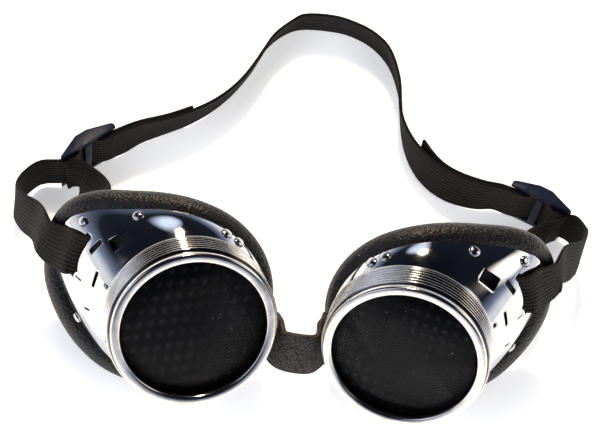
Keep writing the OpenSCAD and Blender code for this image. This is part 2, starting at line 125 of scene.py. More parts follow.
def colour_ramp(tree: Tree, factor: Socket,
                stops: Sequence[tuple[float, str]]) -> Socket:
    """Maps a value to colours.

    Args:
        tree: Node tree that gets the ramp.
        factor: Value between 0 and 1.
        stops: Places and hex colours.

    Returns:
        The colour output.
    """
    ramp = add_node(tree, "ValToRGB", links={"Fac": factor})
    band = ramp.color_ramp.elements
    while len(band) < len(stops):
        band.new(0.5)
    for stop, (place, code) in zip(band, stops):
        stop.position = place
        stop.color = hex_to_linear(code)
    return ramp.outputs["Color"]


def span(tree: Tree, value: Socket, low: float, high: float,
         start: float = 0.0, end: float = 1.0) -> Socket:
    """Spreads a value from one range over another.

    Args:
        tree: Node tree that gets the node.
        value: Value to spread.
        low: Result where the value is at start.
        high: Result where the value is at end.
        start: Lower end of the value's range.
        end: Upper end of the value's range.

    Returns:
        The spread value.
    """
    return add_node(tree, "MapRange", {"From Min": start, "From Max": end, "To Min": low,
                                       "To Max": high}, {"Value": value}).outputs["Result"]


# ---------------------------------------------------------------- finishes


class Paint:
    """One material's node tree, with short ways to add patterns and join them to its shader."""

    def __init__(self, material: Material) -> None:
        """Starts from the material's own plain shader.

        Args:
            material: Material that uses nodes.
        """
        self.tree = material.node_tree
        self.shader = self.tree.nodes["Principled BSDF"]
        self.place = add_node(self.tree, "TexCoord").outputs["Object"]

    def noise(self, size_mm: float, detail: float, output: str = "Fac", **settings: float) -> Socket:
        """Adds a cloudy pattern of a real size.

        Args:
            size_mm: Size of a cloud.
            detail: Number of finer layers.
            output: Name of the output that is wanted.
            **settings: Further inputs of the pattern.

        Returns:
            The pattern.
        """
        return add_node(self.tree, "TexNoise", {"Scale": 1 / (size_mm * MM), "Detail": detail,
                                                **settings}, {"Vector": self.place}).outputs[output]

    def waves(self, place: Socket, direction: str, pitch_mm: float, **settings: float) -> Socket:
        """Adds bands that repeat at a real pitch.

        Args:
            place: Place that the bands are laid on.
            direction: Axis that the bands follow each other along.
            pitch_mm: Distance between two bands.
            **settings: Further inputs of the pattern.

        Returns:
            The bands.
        """
        scale = WAVE_SCALE / (pitch_mm * MM)
        return add_node(self.tree, "TexWave", {"bands_direction": direction, "Scale": scale,
                                               **settings}, {"Vector": place}).outputs["Fac"]

    def cells(self, place: Socket, size_mm: float, **settings: float | str) -> Socket:
        """Adds rounded cells of a real size: the distance from their middles."""
        return add_node(self.tree, "TexVoronoi", {"Scale": 1 / (size_mm * MM), **settings},
                        {"Vector": place}).outputs["Distance"]

    def calculate(self, operation: str, a: Socket, b: Socket) -> Socket:
        """Joins two values by a sum or a product."""
        return add_node(self.tree, "Math", {"operation": operation}, {0: a, 1: b}).outputs["Value"]

    def span(self, value: Socket, *ends: float) -> Socket:
        """Spreads a value over another range: low, high, and its own start and end."""
        return span(self.tree, value, *ends)

    def ramp(self, factor: Socket, *stops: tuple[float, str]) -> Socket:
        """Maps a value to colours."""
        return colour_ramp(self.tree, factor, stops)

    def join(self, name: str, value: Socket) -> None:
        """Joins a value to the shader's input of that name."""
        self.tree.links.new(value, self.shader.inputs[name])

    def fix(self, **values: float) -> None:
        """Sets plain inputs of the shader, named with low lines for spaces."""
        for key, value in values.items():
            self.shader.inputs[key.replace("_", " ")].default_value = value

    def bump(self, *layers: tuple[Socket, float]) -> None:
        """Lays height patterns over each other on the shader's normal.

        Args:
            *layers: Height values between 0 and 1 with their real depth in millimetres.
        """
        normal = None
        for height, depth_mm in layers:
            links = {"Height": height}
            if normal is not None:
                links["Normal"] = normal
            normal = add_node(self.tree, "Bump", {"Strength": 1.0, "Distance": depth_mm * MM},
                              links).outputs["Normal"]
        self.join("Normal", normal)


@dataclass(frozen=True)
class Finish:
    """A surface finish: its colour and the shader values that are the same all over.

    Attributes:
        name: Common name of the material and how its surface was made.
        colour: Base colour in sRGB hex.
        roughness: Roughness that the pattern varies about.
        metallic: 1 for bare metal.
        ior: Refractive index, left alone on metals.
    """

    name: str
    colour: str
    roughness: float = 0.5
    metallic: float = 0.0
    ior: float = 1.5

    def make(self) -> Material:
        """Makes the material: the plain shader with this finish's pattern on it.

        Returns:
            The finished material.
        """
        material = bpy.data.materials.new(self.name)
        material.use_nodes = True
        material.diffuse_color = hex_to_linear(self.colour)
        paint = Paint(material)
        paint.shader.inputs["Base Color"].default_value = hex_to_linear(self.colour)
        paint.fix(Roughness=self.roughness, Metallic=self.metallic)
        if not self.metallic:
            paint.fix(IOR=self.ior)
        self.pattern(paint)
        return material

    def pattern(self, paint: Paint) -> None:
        """Adds what varies over the surface; a plain finish adds nothing."""


@dataclass(frozen=True)
class ChromedSteel(Finish):
    """Bright chrome plating on pressed sheet steel: a mirror that waves a little where the
    press drew the sheet, with faint finger smears."""

    wave_mm: float = 9.0
    wave_depth_mm: float = 0.035
    smear_mm: float = 14.0

    def pattern(self, paint: Paint) -> None:
        """Adds the waves of the drawn sheet and the smears."""
        wave = paint.noise(self.wave_mm, 1.0)
        smear = paint.noise(self.smear_mm, 6.0, Roughness=0.65)
        rough = self.roughness
        paint.join("Roughness", paint.span(smear, rough * 0.6, rough * 2.6, 0.45, 0.75))
        paint.join("Base Color", paint.ramp(smear, (0.35, self.colour), (0.75, "#c9cacb")))
        paint.bump((wave, self.wave_depth_mm))


@dataclass(frozen=True)
class PolishedAluminium(Finish):
    """Turned and rolled metal, polished by hand: soft wide highlights, fine scuffs, duller
    spots, and painted shade where the piece's own groove attribute is 1."""

    scuff_mm: float = 0.5
    scuff_depth_mm: float = 0.003
    dull_mm: float = 6.0
    groove_shade: str = "#121317"

    def pattern(self, paint: Paint) -> None:
        """Adds fine scuffs, dull spots and the painted shade of the grooves."""
        dull = paint.noise(self.dull_mm, 5.0, Roughness=0.6)
        rough = self.roughness
        paint.join("Roughness", paint.span(dull, rough * 0.7, rough * 1.5, 0.35, 0.7))
        bare = paint.ramp(dull, (0.35, self.colour), (0.72, "#c4c0ba"))
        # Painted shade: where the groove attribute is 1, in the ridge valleys, the colour is mixed
        # to near black.
        groove = add_node(paint.tree, "Attribute", {"attribute_name": "groove"}).outputs["Fac"]
        paint.join("Base Color", add_node(
            paint.tree, "Mix", {"data_type": "RGBA", 7: hex_to_linear(self.groove_shade)},
            {0: groove, 6: bare}).outputs[2])
        paint.bump((paint.noise(self.scuff_mm, 3.0), self.scuff_depth_mm))


@dataclass(frozen=True)
class ClearGlass(Finish):
    """Clear flat glass, coated so that it reflects little, with dust specks and a faint haze."""

    speck_mm: float = 2.6
    haze_mm: float = 16.0
    gloss: float = 0.5

    def pattern(self, paint: Paint) -> None:
        """Adds specks and haze that scatter light."""
        paint.fix(Transmission_Weight=1.0, Specular_IOR_Level=self.gloss)
        dust = paint.span(paint.cells(paint.place, self.speck_mm), 0.35, 0.0, 0.02, 0.06)
        film = paint.span(paint.noise(self.haze_mm, 4.0), 0.0, 0.06, 0.4, 0.8)
        paint.join("Roughness", paint.calculate("ADD", dust, film))


@dataclass(frozen=True)
class WeldingShade(Finish):
    """Very dark welding filter glass: nearly black, with the painted reflection of a faint soft grid
    on it.
    """

    grid_reflection_mm: float = 3.3
    grid_reflection_turn: float = 0.12
    grid_reflection_colour: str = "#333337"
    cloud_mm: float = 30.0
    gloss: float = 0.1

    def pattern(self, paint: Paint) -> None:
        """Adds the painted reflection of a soft grid, stronger in some places than in others."""
        paint.fix(Specular_IOR_Level=self.gloss)
        turned = add_node(paint.tree, "Mapping", {"Rotation": (0.0, 0.0, self.grid_reflection_turn)},
                          {"Vector": paint.place}).outputs["Vector"]
        rows, lines = (paint.waves(turned, axis, self.grid_reflection_mm, Distortion=0.6, Detail=1.0)
                       for axis in "XZ")
        strength = paint.span(paint.noise(self.cloud_mm, 1.0), 0.35, 1.0, 0.35, 0.65)
        shown = paint.calculate("MULTIPLY", paint.calculate("MULTIPLY", rows, lines), strength)
        # Painted reflection: the soft grid is mixed into the base colour.
        paint.join("Base Color", paint.ramp(shown, (0.25, self.colour), (0.95, self.grid_reflection_colour)))


@dataclass(frozen=True)
class Leatherette(Finish):
    """Black-brown coated fabric with an embossed calf grain: pebbles that catch the light with
    dull valleys between them."""

    grain_mm: float = 0.85
    grain_depth_mm: float = 0.16
    crease_mm: float = 3.4
    crease_depth_mm: float = 0.22
    pore_mm: float = 0.35
    pore_depth_mm: float = 0.02
    drift_mm: float = 2.2
    worn: str = "#1f1813"

    def pattern(self, paint: Paint) -> None:
        """Adds the pebbled grain, finer pores and soft creases."""
        drift = paint.noise(self.drift_mm, 2.0, "Color")
        bent = add_node(paint.tree, "Mix", {"data_type": "VECTOR", "Factor": 0.0006},
                        {4: paint.place, 5: drift}).outputs[1]
        pebble = paint.cells(bent, self.grain_mm, feature="SMOOTH_F1", Smoothness=0.35)
        height = paint.span(pebble, 1.0, 0.0, 0.1, 0.75)
        paint.join("Base Color", paint.ramp(height, (0.1, "#040303"), (0.6, self.colour),
                                            (1.0, self.worn)))
        paint.join("Roughness", paint.span(height, self.roughness * 1.35, self.roughness * 0.85))
        paint.bump((paint.noise(self.crease_mm, 4.0, Distortion=0.8), self.crease_depth_mm),
                   (height, self.grain_depth_mm),
                   (paint.noise(self.pore_mm, 3.0), self.pore_depth_mm))


@dataclass(frozen=True)
class RibbedWebbing(Finish):
    """Elastic webbing of dark polyester over rubber threads: raised warp ribs along the band,
    crossed by fine weft picks, with a painted highlight on the ribs and painted shade between
    them. It follows the band's own UV map, u along it and v across it, both in metres."""

    pick_mm: float = 0.9
    pick_depth_mm: float = 0.07
    width_mm: float = 15.0
    rib_count: int = 10
    rib_depth_mm: float = 0.1
    fluff_mm: float = 0.6
    patch_mm: float = 22.0
    rib_highlight: str = "#2a241f"

    def pattern(self, paint: Paint) -> None:
        """Adds the weft picks, the warp ribs and their painted highlight and shade."""
        paint.fix(Sheen_Weight=0.03, Specular_IOR_Level=0.22, Sheen_Roughness=0.5)
        flat = add_node(paint.tree, "UVMap", {"uv_map": "along"}).outputs["UV"]
        picks = paint.waves(flat, "X", self.pick_mm, Distortion=0.4, Detail=1.0)
        ribs = paint.waves(flat, "Y", self.width_mm / self.rib_count, Detail=0.0)
        weave = add_node(paint.tree, "Math", {"operation": "MULTIPLY_ADD", 1: 0.45},
                         {0: picks, 2: ribs}).outputs["Value"]
        patch = paint.span(paint.noise(self.patch_mm, 2.0), 0.35, 0.95, 0.3, 0.7)
        lit = paint.calculate("MULTIPLY", weave, patch)
        # Painted highlight and shade: the rib tops get a lighter colour, the hollows between ribs
        # and picks near black.
        paint.join("Base Color", paint.ramp(lit, (0.05, "#030303"), (0.5, self.colour),
                                            (1.0, self.rib_highlight)))
        paint.bump((ribs, self.rib_depth_mm), (picks, self.pick_depth_mm),
                   (paint.noise(self.fluff_mm, 4.0, Roughness=0.7), self.pick_depth_mm))


@dataclass(frozen=True)
class MouldedPlastic(Finish):
    """Injection-moulded nylon with a low gloss, faint flow marks and fine rub marks."""

    flow_mm: float = 5.0
    flow_depth_mm: float = 0.03
    gloss: float = 0.08

    def pattern(self, paint: Paint) -> None:
        """Adds flow marks and rubbed spots."""
        paint.fix(Specular_IOR_Level=self.gloss)
        flow = paint.noise(self.flow_mm, 4.0)
        rough = self.roughness
        paint.join("Roughness", paint.span(flow, rough * 0.7, rough * 1.7, 0.35, 0.7))
        paint.join("Base Color", paint.ramp(flow, (0.3, self.colour), (0.8, "#1a1f2e")))
        paint.bump((flow, self.flow_depth_mm))


@dataclass(frozen=True)
class DullSheet(Finish):
    """Bare sheet or rubber that has gone dull: cloudy, with darker stains."""

    stain_mm: float = 4.0
    stain_depth_mm: float = 0.02
    stain: str = "#1b1b1c"

    def pattern(self, paint: Paint) -> None:
        """Adds the stains."""
        cloud = paint.noise(self.stain_mm, 5.0)
        rough = self.roughness
        paint.join("Base Color", paint.ramp(cloud, (0.35, self.colour), (0.8, self.stain)))
        paint.join("Roughness", paint.span(cloud, rough * 0.8, rough * 1.25, 0.3, 0.7))
        paint.bump((cloud, self.stain_depth_mm))


class Wardrobe:
    """Every finish of the goggles, made once."""

    def __init__(self) -> None:
        """Makes the materials."""
        self.cup = ChromedSteel("chrome plated pressed steel", "#e8eaec", 0.045, 1.0).make()
        self.ring = PolishedAluminium("polished rolled aluminium", "#f4efe9", 0.12, 1.0).make()
        self.neck = PolishedAluminium("turned steel", "#a8a9ab", 0.32, 1.0).make()
        self.clear = ClearGlass("coated clear glass", "#ffffff", 0.0, 0.0, 1.1).make()
        self.shade = WeldingShade("dark welding filter glass", "#19191b", 0.3, 0.0, 1.52).make()
        self.gasket = DullSheet("moulded rubber gasket", "#2a2a2b", 0.75).make()
        self.pad = Leatherette("grained black leatherette", "#0a0809", 0.38, 0.0, 1.5).make()
        self.strip = Leatherette("smooth dark strap leather", "#38312e", 0.5, 0.0, 1.5,
                                 grain_mm=0.6, grain_depth_mm=0.07, crease_mm=6.0,
                                 worn="#4a403d").make()
        self.band = RibbedWebbing("ribbed elastic webbing", "#141111", 0.85, 0.0, 1.5).make()
        self.slider = MouldedPlastic("injection moulded nylon", "#10172e", 0.26, 0.0, 1.53).make()
        self.rivet = ChromedSteel("nickel plated steel rivet", "#dcdcda", 0.12, 1.0, wave_mm=1.2,
                                  wave_depth_mm=0.02, smear_mm=1.5).make()
        self.baffle = DullSheet("dark phosphated sheet steel", "#34363a", 0.45, 0.9).make()


# ---------------------------------------------------------------- modelling helpers


def deselect_all() -> None:
    """Leaves nothing selected, in object mode."""
    if bpy.context.object and bpy.context.object.mode != "OBJECT":
        bpy.ops.object.mode_set(mode="OBJECT")
    bpy.ops.object.select_all(action="DESELECT")


def make_active(piece: Piece) -> None:
    """Selects one object alone and makes it the active one."""
    deselect_all()
    piece.select_set(True)
    bpy.context.view_layer.objects.active = piece


def apply_modifier(piece: Piece, kind: str, **settings) -> None:
    """Adds a modifier with its settings and applies it.

    Args:
        piece: Object that is shaped.
        kind: Modifier type.
        **settings: Properties of the modifier.
    """
    make_active(piece)
    tool = piece.modifiers.new(kind.lower(), kind)
    for key, value in settings.items():
        setattr(tool, key, value)
    bpy.ops.object.modifier_apply(modifier=tool.name)


def clean(piece: Piece, merge_mm: float = 0.001, fill: bool = False, outwards: bool = True) -> None:
    """Merges doubled points, and closes and turns the faces where asked.

    Args:
        piece: The piece.
        merge_mm: Distance under which points become one.
        fill: Whether open ends are closed.
        outwards: Whether all faces are turned outwards.
    """
    make_active(piece)
    bpy.ops.object.mode_set(mode="EDIT")
    bpy.ops.mesh.select_all(action="SELECT")
    bpy.ops.mesh.remove_doubles(threshold=merge_mm * MM)
    if fill:
        bpy.ops.mesh.select_all(action="SELECT")
        bpy.ops.mesh.fill_holes(sides=0)
    if outwards:
        bpy.ops.mesh.normals_make_consistent(inside=False)
    bpy.ops.object.mode_set(mode="OBJECT")


def smooth_by_angle(piece: Piece, degrees: float = 35.0) -> None:
    """Shades a piece smooth, with edges sharper than an angle left hard."""
    make_active(piece)
    bpy.ops.object.shade_smooth_by_angle(angle=math.radians(degrees), keep_sharp_edges=False)


def settle(piece: Piece) -> None:
    """Applies a piece's place, turn and scale to its mesh."""
    make_active(piece)
    bpy.ops.object.transform_apply(location=True, rotation=True, scale=True)


def dress(piece: Piece, material: Material) -> None:
    """Gives a piece one material in place of those it has."""
    piece.data.materials.clear()
    piece.data.materials.append(material)


def copy_of_node(node: str, name: str) -> Piece:
    """Copies a CAD node as a merged mesh of its own, in the same place.

    Args:
        node: Name of the CAD node.
        name: Name of the new piece.

    Returns:
        The copy.
    """
    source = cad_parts[node]
    piece = bpy.data.objects.new(name, source.data.copy())
    bpy.context.scene.collection.objects.link(piece)
    piece.matrix_world = source.matrix_world.copy()
    settle(piece)
    piece.data.materials.clear()
    clean(piece, 0.002, outwards=False)
    return piece


def grid_sheet(name: str, rows: int, columns: int,
               place: Callable[[float, float], Sequence[float]]) -> Piece:
    """Lays a flat grid and moves each of its points to a place on a surface.

    Args:
        name: Name of the piece.
        rows: Number of faces along u.
        columns: Number of faces along v.
        place: Gives the point in metres for u and v between 0 and 1.

    Returns:
        The shaped grid.
    """
    deselect_all()
    bpy.ops.mesh.primitive_grid_add(x_subdivisions=rows, y_subdivisions=columns, size=2.0)
    piece = bpy.context.object
    piece.name = name
    for vertex in piece.data.vertices:
        vertex.co = place((vertex.co.x + 1) / 2, (vertex.co.y + 1) / 2)
    piece.data.update()
    return piece


def lathe(name: str, profile: Sequence[tuple[float, float]], sides: int) -> Piece:
    """Turns a closed profile about Z by extruding and scaling a circle, step by step, and
    bridges the last step to the first.

    Args:
        name: Name of the piece.
        profile: Radius and height of each step, in millimetres.
        sides: Number of sides of the circle.

    Returns:
        The turned piece at the origin.
    """
    deselect_all()
    r, z = profile[0]
    bpy.ops.mesh.primitive_circle_add(vertices=sides, radius=r * MM, location=(0, 0, 0))
    piece = bpy.context.object
    piece.name = name
    bpy.ops.object.mode_set(mode="EDIT")
    bpy.ops.mesh.select_all(action="SELECT")
    bpy.ops.transform.translate(value=(0, 0, z * MM))
    for next_r, next_z in profile[1:]:
        bpy.ops.mesh.extrude_edges_move(TRANSFORM_OT_translate={"value": (0, 0, (next_z - z) * MM)})
        k = next_r / r
        bpy.ops.transform.resize(value=(k, k, 1), center_override=(0, 0, 0))
        r, z = next_r, next_z
    bpy.ops.object.mode_set(mode="OBJECT")
    ends = ((r, z), profile[0])
    for vertex in piece.data.vertices:
        radius = math.hypot(vertex.co.x, vertex.co.y)
        vertex.select = any(abs(vertex.co.z - end_z * MM) < 1e-7 and abs(radius - end_r * MM) < 1e-7
                            for end_r, end_z in ends)
    for edge in piece.data.edges:
        edge.select = all(piece.data.vertices[i].select for i in edge.vertices)
    for face in piece.data.polygons:
        face.select = False
    make_active(piece)
    bpy.ops.object.mode_set(mode="EDIT")
    bpy.ops.mesh.select_mode(type="EDGE")
    bpy.ops.mesh.bridge_edge_loops()
    bpy.ops.mesh.select_mode(type="VERT")
    bpy.ops.object.mode_set(mode="OBJECT")
    return piece


# ---------------------------------------------------------------- shape of a cup


def unit(v: np.ndarray) -> np.ndarray:
    """Scales a vector to length 1."""
    return v / np.linalg.norm(v)


@dataclass(frozen=True)
class CupForm:
    """The form of one cup in its own frame: lens axis on Z, lens plane at z = 0, temple at
    angle 0, all in millimetres. The face pad's line and the wall hang on the same values.

    Attributes:
        base_r: Least distance of the pad line from the axis.
        flare: How far the pad line stands out at the temple.
        nose_depth: Depth of the pad line at the nose.
        temple_depth: Depth of the pad line at the temple.
        roll_r: Radius of the pad roll.
        top_r: Radius of the wall at the neck.
        top_z: Place of the wall at the neck.
        bulge: Outward bulge of the wall.
        rim_deg: Where the rim meets the roll, from the outside towards the lens.
        sheet: Thickness of the sheet.
        depth_share: Depth at every 30 degrees, 0 as at the nose and 1 as at the temple.
        flare_share: Share of the flare at every 30 degrees.
        rim_gap: Gap between rim and roll.
    """

    base_r: float = 25.2
    flare: float = 15.3
    nose_depth: float = 23.5
    temple_depth: float = 47.2
    roll_r: float = 4.6
    top_r: float = 26.2
    top_z: float = -12.8
    bulge: float = 1.2
    rim_deg: float = 68.0
    sheet: float = 0.7
    depth_share: tuple[float, ...] = (1, 0.76, 0.38, 0.1, 0.02, 0, 0, 0, 0.02, 0.15, 0.45, 0.8)
    flare_share: tuple[float, ...] = (
        0.78, 1, 0.48, 0.24, 0.09, 0, -0.03, 0, 0.07, 0.18, 0.34, 0.48)
    rim_gap: float = 0.15

    @staticmethod
    def looped(values: Sequence[float], t: float) -> float:
        """Smooth value at a place of a list that closes on itself.

        Args:
            values: The list.
            t: Place in list steps.

        Returns:
            The value there.
        """
        n, i = len(values), math.floor(t)
        f = t - i
        a, b, c, d = (values[(i + k) % n] for k in (-1, 0, 1, 2))
        return b + 0.5 * f * (c - a + f * (2 * a - 5 * b + 4 * c - d + f * (3 * (b - c) + d - a)))

    @staticmethod
    def polar(r: float, deg: float, z: float) -> np.ndarray:
        """Point at a radius, an angle and a height."""
        a = math.radians(deg)
        return np.array([r * math.cos(a), r * math.sin(a), z])

    def pad_point(self, deg: float) -> np.ndarray:
        """Point of the pad's middle line at an angle."""
        t = (deg % 360) / 30
        reach = self.base_r + self.flare * self.looped(self.flare_share, t)
        deeper = self.temple_depth - self.nose_depth
        return self.polar(reach, deg, -self.nose_depth - deeper * self.looped(self.depth_share, t))

    def pad_surface(self, deg: float, r: float, turn: float) -> np.ndarray:
        """Point at a radius round the pad's middle line.

        Args:
            deg: Angle round the cup.
            r: Distance from the middle line.
            turn: Angle round the roll, from the outside towards the lens.

        Returns:
            The point.
        """
        along = unit(self.pad_point(deg + 1) - self.pad_point(deg - 1))
        out = self.polar(1, deg, 0)
        out = unit(out - along * (out @ along))
        front = np.cross(out, along)
        a = math.radians(turn)
        return self.pad_point(deg) + r * (out * math.cos(a) + front * math.sin(a))

    def wall_top(self, deg: float) -> np.ndarray:
        """Point of the wall at the neck."""
        return self.polar(self.top_r, deg, self.top_z)

    def rim_point(self, deg: float) -> np.ndarray:
        """Point of the wall at the pad."""
        return self.pad_surface(deg, self.roll_r + self.rim_gap, self.rim_deg)

    def wall_len(self, deg: float) -> float:
        """Straight length of the wall from neck to rim."""
        return float(np.linalg.norm(self.rim_point(deg) - self.wall_top(deg)))

    def wall_skin(self, deg: float, s: float) -> np.ndarray:
        """Point of the wall's outer skin, s running from 0 at the neck to 1 at the rim."""
        arc = math.sin(math.pi * min(1, max(0, s)))
        swell = self.bulge * min(1, self.wall_len(deg) / 24) * arc
        top = self.wall_top(deg)
        return top + s * (self.rim_point(deg) - top) + self.polar(swell, deg, 0)

    def wall_normal(self, deg: float, s: float) -> np.ndarray:
        """Outward direction of the wall."""
        return unit(np.cross(self.wall_skin(deg + 1, s) - self.wall_skin(deg - 1, s),
                             self.wall_skin(deg, s - 0.05) - self.wall_skin(deg, s + 0.05)))

    def wall_point(self, deg: float, s: float, deep: float = 0.0) -> np.ndarray:
        """Point under the wall's outer skin."""
        return self.wall_skin(deg, s) - deep * self.wall_normal(deg, s)

    def on_wall(self, deg: float, s: float, twist: float = 0.0) -> Matrix:
        """Frame on the wall, +Z out of it and +X along its lines.

        Args:
            deg: Angle round the cup.
            s: Place between neck and rim.
            twist: Turn about +Z in degrees.

        Returns:
            Matrix in the cup's frame, in metres.
        """
        out = self.wall_normal(deg, s)
        line = self.wall_skin(deg + 5, s) - self.wall_skin(deg - 5, s)
        x = unit(line - out * (line @ out))
        y = np.cross(out, x)
        at = self.wall_skin(deg, s) * MM
        frame_there = Matrix([[x[i], y[i], out[i], at[i]] for i in range(3)] + [[0, 0, 0, 1]])
        return frame_there @ Matrix.Rotation(math.radians(twist), 4, "Z")


@dataclass(frozen=True)
class CupStand:
    """How one cup lies: lean of the lens axis from straight up, toe-in, roll about the axis,
    and place of the lens centre, in degrees and millimetres, as the left one would lie."""

    side: Side
    tip: float
    toe: float
    roll: float
    centre: Point

    def matrix(self) -> Matrix:
        """Matrix from the cup's own frame to the shared one, in metres."""
        x, y, z = (c * MM for c in self.centre)
        turn = (Matrix.Rotation(math.radians(self.tip), 4, "X")
                @ Matrix.Rotation(math.radians(self.toe), 4, "Y")
                @ Matrix.Rotation(math.radians(self.roll), 4, "Z"))
        flip = Matrix.Scale(-1, 4, (1, 0, 0)) if self.side is Side.RIGHT else Matrix.Identity(4)
        return flip @ Matrix.Translation((x, y, z)) @ turn

    def place(self, p: np.ndarray) -> np.ndarray:
        """Point of the cup's frame, in millimetres, in the shared frame, in millimetres."""
        return np.array(self.matrix() @ Vector([c * MM for c in p])) / MM

    def direction(self, v: np.ndarray) -> np.ndarray:
        """Direction of the cup's frame in the shared frame."""
        return unit(np.array(self.matrix().to_3x3() @ Vector([float(c) for c in v])))


STANDS = {
    Side.LEFT: CupStand(Side.LEFT, 61.0, -10.8, 7.0, (32.9, -67.8, 41.7123)),
    Side.RIGHT: CupStand(Side.RIGHT, 51.0, -13.2, 0.0, (32.9, -69.0, 44.0834)),
}


# ---------------------------------------------------------------- cups


@dataclass
class PressedCup:
    """A pressed and chromed cup shell with its vents and its slot for the headband.

    Attributes:
        stand: How the cup lies.
        form: Form of the cup.
        sides: Faces round the wall.
        rows: Faces from neck to rim.
        vents: Angle, place, length along the wall's lines, height and twist of each vent.
        slot: The same for the headband's slot.
    """

    stand: CupStand
    form: CupForm = field(default_factory=CupForm)
    sides: int = 288
    rows: int = 26
    neck_bore: float = 25.15
    shell_z: float = -12.5
    vents: tuple[tuple[float, ...], ...] = (
        (43, 0.3, 6.6, 4.6, -4), (30.5, 0.42, 5.4, 2, 0), (15, 0.22, 5.6, 1.4, 0),
        (8.5, 0.46, 0.8, 3.4, 0), (-8, 0.31, 0.8, 3.4, 0))
    slot: tuple[float, ...] = (20, 0.56, 16.4, 2.6, 0)

    def skin(self) -> Piece:
        """Makes the outer skin, from the neck's bore over the shoulder to the rim."""
        form = self.form
        tall = self.rows + 3

        def place(u: float, v: float) -> Sequence[float]:
            deg, k = u * 360, round(v * tall)
            if k == 0:
                p = form.polar(self.neck_bore, deg, self.shell_z)
            elif k == 1:
                p = form.polar(form.top_r - 0.35, deg, self.shell_z)
            elif k == 2:
                p = form.polar(form.top_r - 0.1, deg, self.shell_z - 0.1)
            else:
                p = form.wall_skin(deg, (k - 3) / self.rows * 0.985)
            return p * MM

        return grid_sheet(f"{self.stand.side.value}_pressed_cup", self.sides, tall, place)

    def cutter(self) -> Piece:
        """Makes the punches of all the openings as one mesh of round-cornered blocks."""
        blocks = []
        for deg, s, wide, tall, twist in self.vents + (self.slot,):
            deselect_all()
            bpy.ops.mesh.primitive_cube_add(size=1.0)
            block = bpy.context.object
            block.data.transform(Matrix.Diagonal((wide * MM, tall * MM, 5 * MM, 1)))
            make_active(block)
            bpy.ops.object.mode_set(mode="EDIT")
            bpy.ops.mesh.select_all(action="DESELECT")
            bpy.ops.object.mode_set(mode="OBJECT")
            for edge in block.data.edges:
                a, b = (block.data.vertices[i].co for i in edge.vertices)
                edge.select = abs(a.z - b.z) > 1 * MM
            bpy.ops.object.mode_set(mode="EDIT")
            bpy.ops.mesh.select_mode(type="EDGE")
            bpy.ops.mesh.bevel(offset=min(0.35, tall * 0.3, wide * 0.3) * MM, segments=3)
            bpy.ops.mesh.select_mode(type="VERT")
            bpy.ops.object.mode_set(mode="OBJECT")
            block.data.transform(self.form.on_wall(deg, s, twist))
            blocks.append(block)
        deselect_all()
        for block in blocks:
            block.select_set(True)
        bpy.context.view_layer.objects.active = blocks[0]
        bpy.ops.object.join()
        return blocks[0]

    def build(self) -> Piece:
        """Makes the shell with its openings punched and their edges broken.

        Returns:
            The shell in the shared frame.
        """
        shell = self.skin()
        clean(shell)
        apply_modifier(shell, "SOLIDIFY", thickness=self.form.sheet * MM, offset=-1.0)
        cutter = self.cutter()
        apply_modifier(shell, "BOOLEAN", operation="DIFFERENCE", object=cutter, solver="EXACT")
        bpy.data.objects.remove(cutter)
        apply_modifier(shell, "BEVEL", width=0.16 * MM, segments=2, limit_method="ANGLE",
                       angle_limit=math.radians(50), use_clamp_overlap=True)
        shell.data.transform(self.stand.matrix())
        clean(shell)
        smooth_by_angle(shell, 40)
        return shell


@dataclass
class ThreadedRing:
    """The rolled lens ring: rounded front lip, smooth shoulder, rolled ridges, plain bead."""

    stand: CupStand
    sides: int = 192
    root_r: float = 26.0
    ridge_h: float = 0.9
    pitch: float = 1.5
    ridges: int = 6
    ridge_steps: int = 12
    valley_power: float = 1.4

    def profile(self) -> list[tuple[float, float]]:
        """Profile of the ring in millimetres, from the lip's inner edge round to the land."""
        lip = [(23.0, -0.9), (23.0, -0.45), (23.08, -0.15), (23.3, 0.06), (23.7, 0.2),
               (24.2, 0.28), (24.7, 0.3), (25.2, 0.27), (25.55, 0.16), (25.8, -0.05),
               (25.95, -0.35), (26.0, -0.75), (26.0, -1.4)]
        ridge = []
        for i in range(self.ridges * self.ridge_steps + 1):
            turn = math.radians(360 / self.ridge_steps * i)
            valley = (0.5 + 0.5 * math.cos(turn)) ** self.valley_power
            ridge.append((self.root_r + self.ridge_h * (1 - valley),
                          -2.0 - i * self.pitch / self.ridge_steps))
        bead = [(26.45, -11.02), (26.78, -11.1), (26.9, -11.3), (26.9, -11.95), (26.75, -12.15),
                (26.5, -12.2), (25.2, -12.2), (25.2, -0.9)]
        return lip + ridge + bead

    def build(self) -> Piece:
        """Turns the ring and places it on its cup."""
        ring = lathe(f"{self.stand.side.value}_rolled_ring", self.profile(), self.sides)
        # groove is 1 in the ridge valleys, where the ring's finish paints shade.
        groove = ring.data.attributes.new("groove", "FLOAT", "POINT")
        for i, vertex in enumerate(ring.data.vertices):
            low = 1 - (math.hypot(vertex.co.x, vertex.co.y) / MM - self.root_r) / self.ridge_h
            ridged = -11.1 < vertex.co.z / MM < -1.9
            groove.data[i].value = max(0.0, min(1.0, low * 1.3 - 0.12)) if ridged else 0.0
        ring.data.transform(self.stand.matrix())
        clean(ring)
        smooth_by_angle(ring, 50)
        return ring


LEATHERETTE_CLOTH = {
    "quality": 6, "mass": 0.3, "tension_stiffness": 8, "compression_stiffness": 3,
    "shear_stiffness": 3, "bending_stiffness": 0.2, "use_pressure": True,
    "uniform_pressure_force": 4.0}


